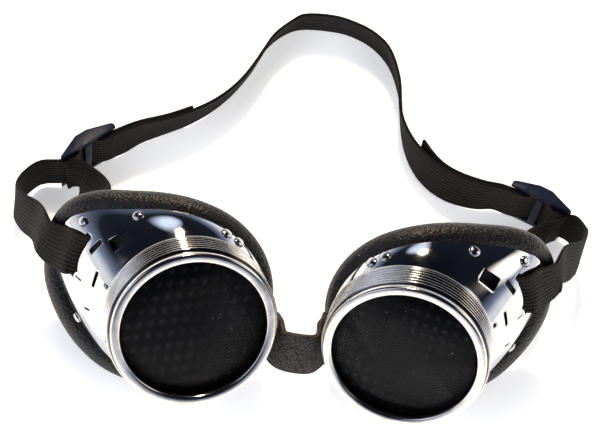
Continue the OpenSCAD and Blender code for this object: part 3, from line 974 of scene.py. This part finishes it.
@dataclass
class FacePad:
    """The stuffed leatherette roll that rests on the face, with the skirt riveted in the cup.

    Attributes:
        stand: How the cup lies.
        form: Form of the cup.
        turns: Points along the roll.
        sides: Points round the roll.
        cap_mm: The most that the stuffing may move a point.
        slack_mm: How much thinner the roll is before it is stuffed.
        over_rim_mm: How far the roll swells over the rim.
        strap_deg: Angle where the headband presses on the roll, strap_wide on each side.
        full_deg: Angle where the roll is fullest, by full_mm, full_wide on each side.
        seam_turn: Place of the seam round the roll, drawn in by seam_mm over seam_wide.
        gather_wide: How far the gathers of the seam reach.
        frames: Length of the cloth simulation.
    """

    stand: CupStand
    form: CupForm = field(default_factory=CupForm)
    turns: int = 260
    sides: int = 26
    cap_mm: float = 0.75
    slack_mm: float = 0.4
    over_rim_mm: float = 1.05
    strap_deg: float = 16.5
    strap_wide: float = 17.0
    full_deg: float = -38.0
    full_wide: float = 34.0
    full_mm: float = 1.9
    skirt_w: float = 7.0
    skirt_thickness: float = 0.85
    seam_turn: float = 210.0
    seam_mm: float = 0.75
    seam_wide: float = 0.8
    gather_wide: float = 4.5
    frames: int = 14

    @staticmethod
    def away(deg: float, middle: float) -> float:
        """Signed angle from a middle, between -180 and 180 degrees."""
        return (deg - middle + 180) % 360 - 180

    def roll(self) -> Piece:
        """Makes the roll, a little slack, as a closed tube that swells over the cup's rim,
        except where the strap presses on it."""
        form = self.form

        def place(u: float, v: float) -> Sequence[float]:
            deg, turn = u * 360, v * 360
            free = 1 - math.exp(-((self.away(deg, self.strap_deg) / self.strap_wide) ** 4))
            full = self.full_mm * math.exp(-((self.away(deg, self.full_deg) / self.full_wide) ** 2))
            swell = self.over_rim_mm * free + full * 0.7
            r = form.roll_r - self.slack_mm + 0.35 * free + full * 0.5
            lean = form.rim_deg * (1 - full / self.full_mm * 0.6)
            toward = form.pad_surface(deg, swell, lean) - form.pad_point(deg)
            return (form.pad_surface(deg, r, turn) + toward) * MM

        piece = grid_sheet(f"{self.stand.side.value}_stuffed_pad", self.turns, self.sides, place)
        piece.data.transform(self.stand.matrix())
        clean(piece)
        return piece

    def stuff(self, piece: Piece) -> None:
        """Blows the roll up as cloth under pressure, each point held within its cap.

        Args:
            piece: The slack roll.
        """
        start = np.array([v.co[:] for v in piece.data.vertices])
        make_active(piece)
        cloth = piece.modifiers.new("stuffing", "CLOTH")
        for key, value in LEATHERETTE_CLOTH.items():
            setattr(cloth.settings, key, value)
        cloth.settings.effector_weights.gravity = 0.0
        cloth.point_cache.frame_start, cloth.point_cache.frame_end = 1, self.frames
        for step in range(1, self.frames + 1):
            bpy.context.scene.frame_set(step)
        bpy.ops.object.modifier_apply(modifier=cloth.name)
        bpy.context.scene.frame_set(1)
        end = np.array([v.co[:] for v in piece.data.vertices])
        move = end - start
        far = np.linalg.norm(move, axis=1, keepdims=True)
        move *= np.minimum(1, self.cap_mm * MM / np.maximum(far, 1e-9))
        for vertex, co in zip(piece.data.vertices, start + move):
            vertex.co = co
        piece.data.update()

    def pucker(self, piece: Piece) -> None:
        """Draws in the seam along the inner back of the roll and gathers it lightly.

        Args:
            piece: The stuffed roll.
        """
        form, forward = self.form, self.stand.matrix()
        back = forward.inverted()
        turns = range(0, 360, 2)
        middle = np.array([form.pad_point(d) for d in turns])
        groove = np.array([form.pad_surface(d, form.roll_r, self.seam_turn) for d in turns])
        for vertex in piece.data.vertices:
            p = np.array(back @ vertex.co) / MM
            near = np.linalg.norm(groove - p, axis=1)
            k = int(near.argmin())
            pull = self.seam_mm * math.exp(-((near[k] / self.seam_wide) ** 2))
            gather = 0.09 * math.sin(turns[k] * 1.9) + 0.06 * math.sin(turns[k] * 3.7 + 1)
            gather *= math.exp(-((near[k] / self.gather_wide) ** 2))
            p = p + unit(middle[k] - p) * (pull + gather)
            vertex.co = forward @ Vector(p * MM)
        piece.data.update()

    def skirt(self) -> Piece:
        """Makes the leatherette skirt that lines the cup from the roll inwards."""
        form = self.form

        def place(u: float, v: float) -> Sequence[float]:
            deg = u * 360
            length = form.wall_len(deg)
            width = min(self.skirt_w, length - 1.4)
            s = 1 - (0.05 + v * (width - 0.05)) / length
            return form.wall_point(deg, s, form.sheet + 0.2) * MM

        piece = grid_sheet(f"{self.stand.side.value}_pad_skirt", 180, 6, place)
        clean(piece)
        apply_modifier(piece, "SOLIDIFY", thickness=self.skirt_thickness * MM, offset=-1.0)
        piece.data.transform(self.stand.matrix())
        clean(piece)
        smooth_by_angle(piece, 50)
        return piece

    def build(self) -> tuple[Piece, Piece]:
        """Makes the stuffed roll and its skirt."""
        roll = self.roll()
        self.stuff(roll)
        self.pucker(roll)
        apply_modifier(roll, "SUBSURF", levels=1, render_levels=1)
        smooth_by_angle(roll, 80)
        return roll, self.skirt()


# ---------------------------------------------------------------- straps


@dataclass
class Strap:
    """A flat strap along stations of a point and the direction of its width, in millimetres.

    Attributes:
        name: Name of the piece.
        stations: Rows of point and width direction.
        width: Width of the strap.
        thickness: Thickness of the strap.
        steps: Rows made between two stations.
        ribs: Number of raised ribs along it, 0 for a smooth strap.
        rib_h: Height of a rib.
    """

    name: str
    stations: list[Station]
    width: float
    thickness: float
    steps: int = 5
    ribs: int = 0
    rib_h: float = 0.16
    edge_r: float = 0.35

    def smooth(self) -> list[Station]:
        """Stations between the stations, on a smooth curve that keeps its shape.

        Returns:
            The finer rows.
        """
        rows = self.stations
        n = len(rows)
        flat = [np.concatenate(row) for row in rows]

        def at(i: int) -> np.ndarray:
            if i < 0:
                return 2 * flat[0] - flat[1]
            if i >= n:
                return 2 * flat[n - 1] - flat[n - 2]
            return flat[i]

        def root(v: np.ndarray) -> float:
            return math.sqrt(max(0.01, float(np.linalg.norm(v[:3]))))

        out = []
        for i in range(n - 1):
            a, b, c, d = at(i - 1), flat[i], flat[i + 1], at(i + 2)
            p, q, r = root(b - a), root(c - b), root(d - c)
            m = c - b + q * ((b - a) / p - (c - a) / (p + q))
            k = c - b + q * ((d - c) / r - (d - b) / (q + r))
            for j in range(self.steps + (1 if i == n - 2 else 0)):
                f = j / self.steps
                v = b + f * m + f * f * (3 * (c - b) - 2 * m - k) + f**3 * (m + k - 2 * (c - b))
                out.append((v[:3], v[3:]))
        return out

    def section(self) -> list[tuple[float, float]]:
        """Closed section of the strap: place across it and height over its middle."""
        half_w, half_t = self.width / 2, self.thickness / 2
        points = self.ribs * 5 if self.ribs else 6
        inner = half_w - self.edge_r
        face = []
        for i in range(points + 1):
            x = -inner + 2 * inner * i / points
            wave = 0.5 - 0.5 * math.cos(2 * math.pi * self.ribs * i / points) if self.ribs else 1.0
            face.append((x, half_t - self.rib_h * (1 - wave) if self.ribs else half_t))
        edge = [(half_w - self.edge_r + self.edge_r * math.sin(a), half_t * math.cos(a))
                for a in (math.pi * k / 6 for k in range(1, 6))]
        back = [(-x, -y) for x, y in face]
        return face + edge + back + [(-x, -y) for x, y in edge]

    def build(self) -> Piece:
        """Makes the whole strap as one piece."""
        return self.cut({self.name: (0, len(self.stations) - 1)})[0]

    def cut(self, parts: dict[str, tuple[int, int]]) -> list[Piece]:
        """Makes the strap in lengths that meet edge to edge, each with its UV map, u along the
        strap and v across it in metres.

        Args:
            parts: Name of each length with the stations where it starts and ends.

        Returns:
            The closed lengths.
        """
        rows = self.smooth()
        section = self.section()
        n, m = len(rows), len(section)
        points, lengths, walked = [], [], 0.0
        for i, (p, wide0) in enumerate(rows):
            along = unit(rows[min(i + 1, n - 1)][0] - rows[max(i - 1, 0)][0])
            wide = unit(wide0 - along * (wide0 @ along))
            out = np.cross(along, wide)
            if i:
                walked += float(np.linalg.norm(p - rows[i - 1][0]))
            lengths.append(walked)
            points.append([(p + wide * x + out * y) * MM for x, y in section])

        pieces = []
        for name, (start, end) in parts.items():
            first, last = start * self.steps, end * self.steps
            pieces.append(self.length_of(name, points[first:last + 1], lengths[first:last + 1]))
        return pieces

    def length_of(self, name: str, points: list, lengths: list[float]) -> Piece:
        """Makes one length of the strap.

        Args:
            name: Name of the length.
            points: Points of each section, in metres.
            lengths: Way along the strap to each section, in millimetres.

        Returns:
            The closed length.
        """
        section = self.section()
        n, m = len(points), len(section)

        def place(u: float, v: float) -> Sequence[float]:
            return points[round(u * (n - 1))][round(v * m) % m]

        piece = grid_sheet(name, n - 1, m, place)
        layer = piece.data.uv_layers.active or piece.data.uv_layers.new(name="along")
        layer.name = "along"
        for item in layer.data:
            i, j = round(item.uv[0] * (n - 1)), round(item.uv[1] * m)
            item.uv = (lengths[i] * MM, section[j % m][0] * MM)
        clean(piece, fill=True)
        smooth_by_angle(piece, 60)
        return piece


@dataclass
class Headband:
    """Elastic headband: round the back of the head, doubled through the two sliders, looped
    through the cups' slots, with a free tail beyond each slider."""

    form: CupForm = field(default_factory=CupForm)
    width: float = 15.0
    thickness: float = 1.2
    layer_pitch: float = 1.3
    front_y: float = -69.0
    slot_deg: float = 20.0
    slot_s: float = 0.56
    rim_lead_deg: float = 3.5
    half_band_deg: float = 10.6
    band_off: float = 1.4
    inner_off: float = 3.85
    slider_at: dict = field(default_factory=lambda: {Side.LEFT: (91.7, 76.6),
                                                     Side.RIGHT: (86.3, 69.9)})
    slider_turn: dict = field(default_factory=lambda: {Side.LEFT: 158.4, Side.RIGHT: 135.3})
    slider_mid_z: float = 9.5
    head_run: tuple[tuple[float, ...], ...] = (
        (-61.7, 91.4, 1.8, 1.5), (-53.5, 97, 1.5, 3), (-46, 102.3, 1, 3.5), (-38.5, 109.4, 0.6, 4),
        (-32, 118, 0.3, 4), (-26, 129.5, 0, 3.5), (-22, 140.2, 0, 4), (-16, 148.4, 0, 4.5),
        (-10, 152.5, 0, 4), (2, 154, 0, 4), (10, 153.2, 0, 4.5), (19, 149, 0, 4),
        (26, 141.2, 0, 3), (31, 127, 0, 2.8), (32.4, 114, 0, 3), (33.6, 106.8, 0.2, 2),
        (36.2, 99.2, 0.4, 0.3), (39.7, 93.1, 0.7, -1.5), (44.5, 88.3, 1, -2.3),
        (51, 84.8, 1.4, -2.6), (60.5, 83.4, 1.8, -1.5))
    tails: dict = field(default_factory=lambda: {Side.LEFT: (1.3, 1.4, 1.6, 2.2, 3.2),
                                                 Side.RIGHT: (1.3, 1.3, 1.35)})
    weave: tuple[tuple[float, float], ...] = (
        (26, -1.4), (22.5, -0.9), (19.4, -0.5), (17.2, 0.1), (14.8, 1.5), (12.6, 2.3),
        (10.1, 2.3), (8, 1.3), (6, 0), (3.8, -0.5), (1.5, -0.6))
    outer_loop: dict = field(default_factory=lambda: {
        Side.LEFT: ((94.4, 74.8, 10.3), (96.6, 67.5, 14), (95, 60.6, 19), (91.4, 54, 25),
                    (86.2, 47.5, 33)),
        Side.RIGHT: ((93.2, 69.2, 9.2), (98.2, 61.8, 11), (99, 54.5, 14), (95.6, 47.8, 18.5),
                     (90, 41.2, 25))})
    inner_loop: dict = field(default_factory=lambda: {
        Side.LEFT: ((86, 71.5, 11), (82, 64.5, 15), (78, 57.5, 20.5), (75.5, 50.5, 27)),
        Side.RIGHT: ((80.8, 69.5, 10.5), (77, 63.5, 14), (73.2, 57, 19), (71.5, 50, 24))})
    inner_lean: tuple[float, float, float] = (-0.7, -0.3, 0)
    bar_row: int = 6
    seam_right: int = 3
    seam_mid: int = 9
    seam_left: int = 15
    loop_blend: tuple[float, float] = (-30.0, -1.0)
    head_blend: tuple[float, float] = (60.0, 24.0)

    @property
    def rim(self) -> float:
        """Angle at which the band crosses the cup's rim, a little before the slot."""
        return self.slot_deg - self.rim_lead_deg

    def on_head_run(self, k: int, off: float) -> Station:
        """Station of the run round the head, moved outwards by an offset."""
        rows = self.head_run
        h, a, b = rows[k], rows[max(0, k - 1)], rows[min(len(rows) - 1, k + 1)]
        along = unit(np.array([b[0] - a[0], b[1] - a[1], 0]))
        inward = np.array([along[1], -along[0], 0])
        wide = unit(np.array([0, 0, self.width]) + inward * h[3])
        low = abs(wide @ inward) * self.thickness / 2
        foot = np.array([h[0], h[1] + self.front_y, h[2] + low])
        return foot + wide * self.width / 2 - inward * off, wide

    def through_slider(self, side: Side, layer: int) -> list[Station]:
        """Stations of one layer of webbing across a slider."""
        a = math.radians(self.slider_turn[side])
        x0, y0 = self.slider_at[side]
        rows = []
        for along, lift in self.weave:
            out = lift + layer * self.layer_pitch / 2
            x = x0 + along * math.cos(a) + out * math.sin(a)
            y = y0 + self.front_y + along * math.sin(a) - out * math.cos(a)
            rows.append((np.array([side.sign * x, y, self.slider_mid_z]),
                         np.array([0.0, 0.0, 1.0])))
        return rows

    def on_cup(self, side: Side, at: float, surface: Callable[[float], np.ndarray],
               inside: bool = False) -> Station:
        """Station on a cup at an angle, where the band lies across a surface."""
        stand = STANDS[side]
        a, b = surface(at - self.half_band_deg), surface(at + self.half_band_deg)
        return stand.place((a + b) / 2 if inside else surface(at)), stand.direction(unit(b - a))

    def rim_wrap(self, side: Side) -> list[Station]:
        """Stations where the band goes over the pad, in through the slot and out behind."""
        form, rim, lead = self.form, self.rim, self.rim_lead_deg
        length = form.wall_len(self.slot_deg)
        bend = (self.band_off + self.inner_off) / 2
        mid = (self.inner_off - self.band_off) / 2
        turn_s = self.slot_s + bend / length
        pad_off = form.roll_r + self.band_off

        def over_pad(turn: float, off: float, inside: bool) -> Station:
            return self.on_cup(side, rim, lambda d: form.pad_surface(d, off, turn), inside)

        def in_slot(a: float) -> Station:
            s, c = math.sin(math.radians(a)), math.cos(math.radians(a))
            return self.on_cup(side, self.slot_deg, lambda d: form.wall_point(
                d, turn_s - bend * s / length, mid - bend * c), a > 45)

        return ([over_pad(turn, pad_off, False) for turn in (10, 40)]
                + [self.on_cup(side, rim + 0.4 * lead,
                               lambda d: form.wall_point(d, 0.82, -self.band_off))]
                + [in_slot(a) for a in range(0, 181, 45)]
                + [self.on_cup(side, rim + 0.5 * lead,
                               lambda d: form.wall_point(d, 0.78, self.inner_off), True)]
                + [over_pad(turn, pad_off + 2, True) for turn in (135, 170)])

    def loop(self, side: Side, points: Sequence[Point], lean: Point = (0, 0, 0)
             ) -> list[Station]:
        """Stations between a slider and a cup, turning upright on the way."""
        line = self.form.pad_point(self.rim + 5) - self.form.pad_point(self.rim - 5)
        wide = STANDS[side].direction(unit(line))
        sway = np.array(lean) * [side.sign, 1, 1]
        rows = []
        for i, p in enumerate(points):
            f = i / len(points)
            up = unit((1 - f) * np.array([0.0, 0.0, 1.0]) + f * wide + math.sin(math.pi * f) * sway)
            rows.append((np.array([side.sign * p[0], p[1] + self.front_y, p[2]]), up))
        return rows

    def side_run(self, side: Side) -> list[Station]:
        """Stations from a slider's outer layer round the cup to its inner layer."""
        return (self.through_slider(side, 1) + self.loop(side, self.outer_loop[side])
                + self.rim_wrap(side)
                + self.loop(side, self.inner_loop[side], self.inner_lean)[::-1]
                + self.through_slider(side, -1)[::-1])

    def tail(self, side: Side) -> list[Station]:
        """Stations of the free end beyond a slider, from its tip."""
        offs = self.tails[side]
        last = len(self.head_run) - 1
        return [self.on_head_run(k if side is Side.RIGHT else last - k, offs[k])
                for k in range(len(offs) - 1, -1, -1)]

    def along_slider(self, side: Side, along: float) -> Point:
        """Point in metres on the line of a slider, from its cup end towards the head."""
        a = math.radians(self.slider_turn[side])
        x0, y0 = self.slider_at[side]
        return (side.sign * (x0 + along * math.cos(a)) * MM,
                (y0 + self.front_y + along * math.sin(a)) * MM, self.slider_mid_z * MM)

    def back_point(self, k: int) -> Vector:
        """Middle of a station of the run round the head, in metres."""
        return Vector(self.on_head_run(k, 0)[0] * MM)

    def build(self) -> list[Piece]:
        """Makes the ribbed webbing in lengths that meet in the sliders and round the head, and
        bakes each one's place into its mesh.

        Returns:
            The lengths.
        """
        rows = (self.tail(Side.RIGHT) + self.side_run(Side.RIGHT)
                + [self.on_head_run(k, 0) for k in range(len(self.head_run))]
                + self.side_run(Side.LEFT)[::-1] + self.tail(Side.LEFT)[::-1])
        tail_r = len(self.tails[Side.RIGHT])
        side = len(self.side_run(Side.RIGHT))
        head = tail_r + side
        left = head + len(self.head_run)
        bar = self.bar_row
        spots = [0, tail_r + bar, tail_r + side - 1 - bar, head + self.seam_right,
                 head + self.seam_mid, head + self.seam_left, left + bar, left + side - 1 - bar,
                 len(rows) - 1]
        names = ("right_band_tail", "right_band_loop", "right_band_run", "right_back_band",
                 "left_back_band", "left_band_run", "left_band_loop", "left_band_tail")
        strap = Strap("ribbed_headband", rows, self.width, self.thickness, steps=4, ribs=10)
        pieces = strap.cut({name: (spots[i], spots[i + 1]) for i, name in enumerate(names)})
        for name, piece in zip(names, pieces):
            self.bend(name, piece)
        return pieces

    def bend(self, name: str, piece: Piece) -> None:
        """Bakes the place of one length of webbing into its mesh.

        Args:
            name: Name of the length.
            piece: Its mesh.
        """
        side = Side.LEFT if name.startswith("left") else Side.RIGHT
        if name.endswith("back_band"):
            self.back_point(self.seam_left)
            self.back_point(self.seam_right)
            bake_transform(piece)
            return
        far, near = self.loop_blend if name.endswith("loop") else self.head_blend
        side.body
        self.along_slider(side, far)
        self.along_slider(side, near)
        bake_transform(piece)


@dataclass
class NoseStrip:
    """The leather strip that joins the cups over the nose."""

    form: CupForm = field(default_factory=CupForm)
    width: float = 14.5
    thickness: float = 1.8
    gap: float = 0.25
    deg: float = 192.0
    front_y: float = -69.0
    middle: tuple[Point, ...] = ((-5.5, 5.4, 28.4), (1, 3.7, 29.8), (5.8, 4.9, 28.9))

    def half(self, side: Side) -> list[Station]:
        """Stations on one cup, from its inner end towards the middle."""
        stand = STANDS[side]
        a = math.radians(self.deg)
        wide = stand.direction(np.array([math.sin(a), -math.cos(a), 0]))
        off = self.thickness / 2 + self.gap
        return [(stand.place(self.form.wall_point(self.deg, s, -(off + lift))), wide)
                for s, lift in ((0.86, 0), (0.6, 0), (0.34, 0.1), (0.05, 1.1))]

    def build(self) -> Piece:
        """Makes the strip with rounded edges."""
        wide = np.array([0.0, 0.55, 0.83])
        middle = [(np.array([x, y + self.front_y, z]), wide) for x, y, z in self.middle]
        rows = self.half(Side.RIGHT) + middle + self.half(Side.LEFT)[::-1]
        return Strap("leather_nose_strip", rows, self.width, self.thickness, steps=8,
                     edge_r=0.6).build()


# ---------------------------------------------------------------- studio


@dataclass(frozen=True)
class Studio:
    """The plain floor, the soft lights and the camera."""

    eye: Point = (-0.0306, -0.2831, 0.4910)
    look: Point = (0.0514, 0.4993, -0.8649)
    up: Point = (-0.1359, 0.8615, 0.4893)
    lens_mm: float = 96.0
    floor_m: float = 6.0
    floor_glow: float = 0.42
    glows: tuple[tuple[Point, float, float, str], ...] = (
        ((-0.25, 0.75, 0.7), 13.0, 1.6, "#cfd8ee"),
        ((0.9, 0.2, 0.55), 18.0, 2.0, "#fff6ea"),
        ((-0.8, -0.5, 0.75), 26.0, 1.2, "#dfe8ff"))

    def camera(self) -> None:
        """Sets the camera."""
        data = bpy.data.cameras.new("camera")
        data.lens, data.sensor_width = self.lens_mm, 36.0
        data.clip_start, data.clip_end = 0.01, 50
        camera = bpy.data.objects.new("camera", data)
        bpy.context.scene.collection.objects.link(camera)
        back = -Vector(self.look).normalized()
        up = Vector(self.up)
        right = up.cross(back).normalized()
        up = back.cross(right)
        camera.matrix_world = Matrix([[right[i], up[i], back[i], self.eye[i]] for i in range(3)]
                                     + [[0, 0, 0, 1]])
        bpy.context.scene.camera = camera

    def light(self, name: str, place: Point, size: float, power: float, code: str) -> None:
        """Adds one square soft light that faces the goggles and leaves no square in a mirror.

        Args:
            name: Name of the light.
            place: Where it hangs.
            size: Width of the square.
            power: Power in watts.
            code: Colour in hex.
        """
        data = bpy.data.lights.new(name, "AREA")
        data.size, data.energy, data.color = size, power, hex_to_linear(code)[:3]
        lamp = bpy.data.objects.new(name, data)
        lamp.location = place
        aim = Vector((0, 0, 0.02)) - Vector(place)
        lamp.rotation_euler = aim.to_track_quat("-Z", "Y").to_euler()
        lamp.visible_glossy = lamp.visible_transmission = False
        bpy.context.scene.collection.objects.link(lamp)

    def sun(self, place: Point, size: float, power: float, code: str) -> None:
        """Adds one small round light that leaves glints on leather and metal.

        Args:
            place: Where it hangs.
            size: Diameter of the disc.
            power: Power in watts.
            code: Colour in hex.
        """
        self.light("sun", place, size, power, code)
        lamp = bpy.data.objects["sun"]
        lamp.data.shape = "DISK"
        lamp.visible_glossy = True

    def sky(self) -> None:
        """Sets the soft surroundings: bright low down, dark overhead, with soft round glows."""
        world = bpy.data.worlds.new("studio")
        bpy.context.scene.world = world
        world.use_nodes = True
        tree = world.node_tree
        place = add_node(tree, "TexCoord").outputs["Generated"]
        height = add_node(tree, "SeparateXYZ", links={"Vector": place}).outputs["Z"]
        tone = colour_ramp(tree, span(tree, height, 0.0, 1.0, -0.1, 1.0),
                           [(0.0, "#ffffff"), (0.2, "#eceef4"), (0.36, "#7f8aa4"),
                            (0.52, "#20242f"), (1.0, "#0e1118")])
        glow = None
        for aim, wide, power, code in self.glows:
            axis = Vector(aim).normalized()
            facing = add_node(tree, "VectorMath", {"operation": "DOT_PRODUCT", 1: tuple(axis)},
                              {0: place}).outputs["Value"]
            fade = {"interpolation_type": "SMOOTHSTEP", "From Min": math.cos(math.radians(wide)),
                    "From Max": 1.0, "To Min": 0.0, "To Max": power}
            soft = add_node(tree, "MapRange", fade, {"Value": facing}).outputs["Result"]
            spot = add_node(tree, "VectorMath", {"operation": "SCALE", 0: hex_to_linear(code)[:3]},
                            {"Scale": soft}).outputs["Vector"]
            glow = spot if glow is None else add_node(
                tree, "VectorMath", {"operation": "ADD"}, {0: glow, 1: spot}).outputs["Vector"]
        whole = add_node(tree, "VectorMath", {"operation": "ADD"}, {0: tone, 1: glow})
        tree.links.new(whole.outputs["Vector"], tree.nodes["Background"].inputs["Color"])
        tree.nodes["Background"].inputs["Strength"].default_value = 1.0

    def floor(self) -> None:
        """Lays the plain floor."""
        deselect_all()
        bpy.ops.mesh.primitive_plane_add(size=self.floor_m, location=(0, 0, -0.0002))
        floor = bpy.context.object
        floor.name = "floor"
        settle(floor)
        card = Finish("matt white card", "#fbfbfb", 0.9).make()
        shader = card.node_tree.nodes["Principled BSDF"]
        shader.inputs["Emission Color"].default_value = hex_to_linear("#ffffff")
        shader.inputs["Emission Strength"].default_value = self.floor_glow
        dress(floor, card)

    def build(self) -> None:
        """Sets up everything round the goggles."""
        bpy.context.scene.view_settings.view_transform = "Standard"
        self.camera()
        self.sky()
        self.floor()
        self.sun((-0.15, 0.75, 1.15), 0.16, 14.0, "#ffe9cc")
        self.light("key", (-0.2, 0.7, 1.1), 0.7, 6.0, "#fff3e2")
        self.light("fill", (-0.9, -0.7, 1.0), 1.0, 8.0, "#f1f4ff")
        self.light("front", (0.9, -0.8, 1.0), 1.0, 10.0, "#ffffff")


# ---------------------------------------------------------------- the goggles


@dataclass
class Goggles:
    """The whole pair: builds each piece and dresses it, and hangs the cups' pieces on their bodies.
    """

    finishes: Wardrobe
    made: list[str] = field(default_factory=list)

    def add(self, piece: Piece, body: str, slot: str, material: Material,
            *nodes: str) -> None:
        """Dresses a piece and puts it in place of CAD nodes.

        Args:
            piece: The finished piece.
            body: CAD body that carries it.
            slot: Material slot of the record; not used.
            material: Its finish.
            *nodes: CAD nodes that it stands for.
        """
        dress(piece, material)
        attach(piece, body)
        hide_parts(*nodes)
        self.made.append(piece.name)
        log.info("%s: %d faces on %s", piece.name, len(piece.data.polygons), body)

    def refined(self, node: str, body: str, slot: str, material: Material,
                bevel_mm: float = 0.0, angle: float = 30.0) -> None:
        """Adds a smoothed copy of a CAD node, with its edges broken where asked."""
        piece = copy_of_node(node, f"finished_{node}")
        if bevel_mm:
            apply_modifier(piece, "BEVEL", width=bevel_mm * MM, segments=3, limit_method="ANGLE",
                           angle_limit=math.radians(35), use_clamp_overlap=True)
        smooth_by_angle(piece, angle)
        self.add(piece, body, slot, material, node)

    def cup(self, side: Side) -> None:
        """Builds one cup with its ring, glasses, pad and rivets."""
        stand, f, s = STANDS[side], self.finishes, side.value
        self.add(PressedCup(stand).build(), side.body, "cup", f.cup, f"{s}_cup_shell")
        self.add(ThreadedRing(stand).build(), f"{s}_ring", "ring", f.ring, f"{s}_lens_ring")
        roll, skirt = FacePad(stand).build()
        self.add(roll, side.body, "pad_leatherette", f.pad, f"{s}_face_pad", f"{s}_pad_core")
        self.add(skirt, side.body, "pad_leatherette", f.pad, f"{s}_face_pad")
        self.refined(f"{s}_neck", side.body, "neck", f.neck)
        self.refined(f"{s}_cover_lens", f"{s}_lens_pack", "clear_glass", f.clear)
        self.refined(f"{s}_shade_lens", f"{s}_lens_pack", "shade_glass", f.shade)
        self.refined(f"{s}_front_gasket", f"{s}_lens_pack", "gasket", f.gasket)
        self.refined(f"{s}_rear_gasket", side.body, "gasket", f.gasket)
        self.refined(f"{s}_baffle", side.body, "baffle", f.baffle)
        for kind in ("pad_rivets", "baffle_rivets", "nose_rivet"):
            self.refined(f"{s}_{kind}", side.body, "rivet", f.rivet, angle=45)
        self.refined(f"{s}_slider", f"{s}_slider_body", "slider", f.slider, 0.35, 40)

    def build(self) -> None:
        """Builds both cups, the nose strip and the headband."""
        for side in Side:
            self.cup(side)
        strip = NoseStrip().build()
        dress(strip, self.finishes.strip)
        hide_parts("nose_strip")
        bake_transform(strip)
        log.info("%s bends between the cups", strip.name)
        for length in Headband().build():
            dress(length, self.finishes.band)
            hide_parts("headband")
            self.made.append(length.name)


def main() -> None:
    """Builds the studio and the goggles."""
    logging.basicConfig(level=logging.INFO, format="%(name)s: %(message)s")
    Studio().build()
    goggles = Goggles(Wardrobe())
    goggles.build()
    log.info("%d pieces", len(goggles.made) + 1)


if __name__ == "__main__":
    main()
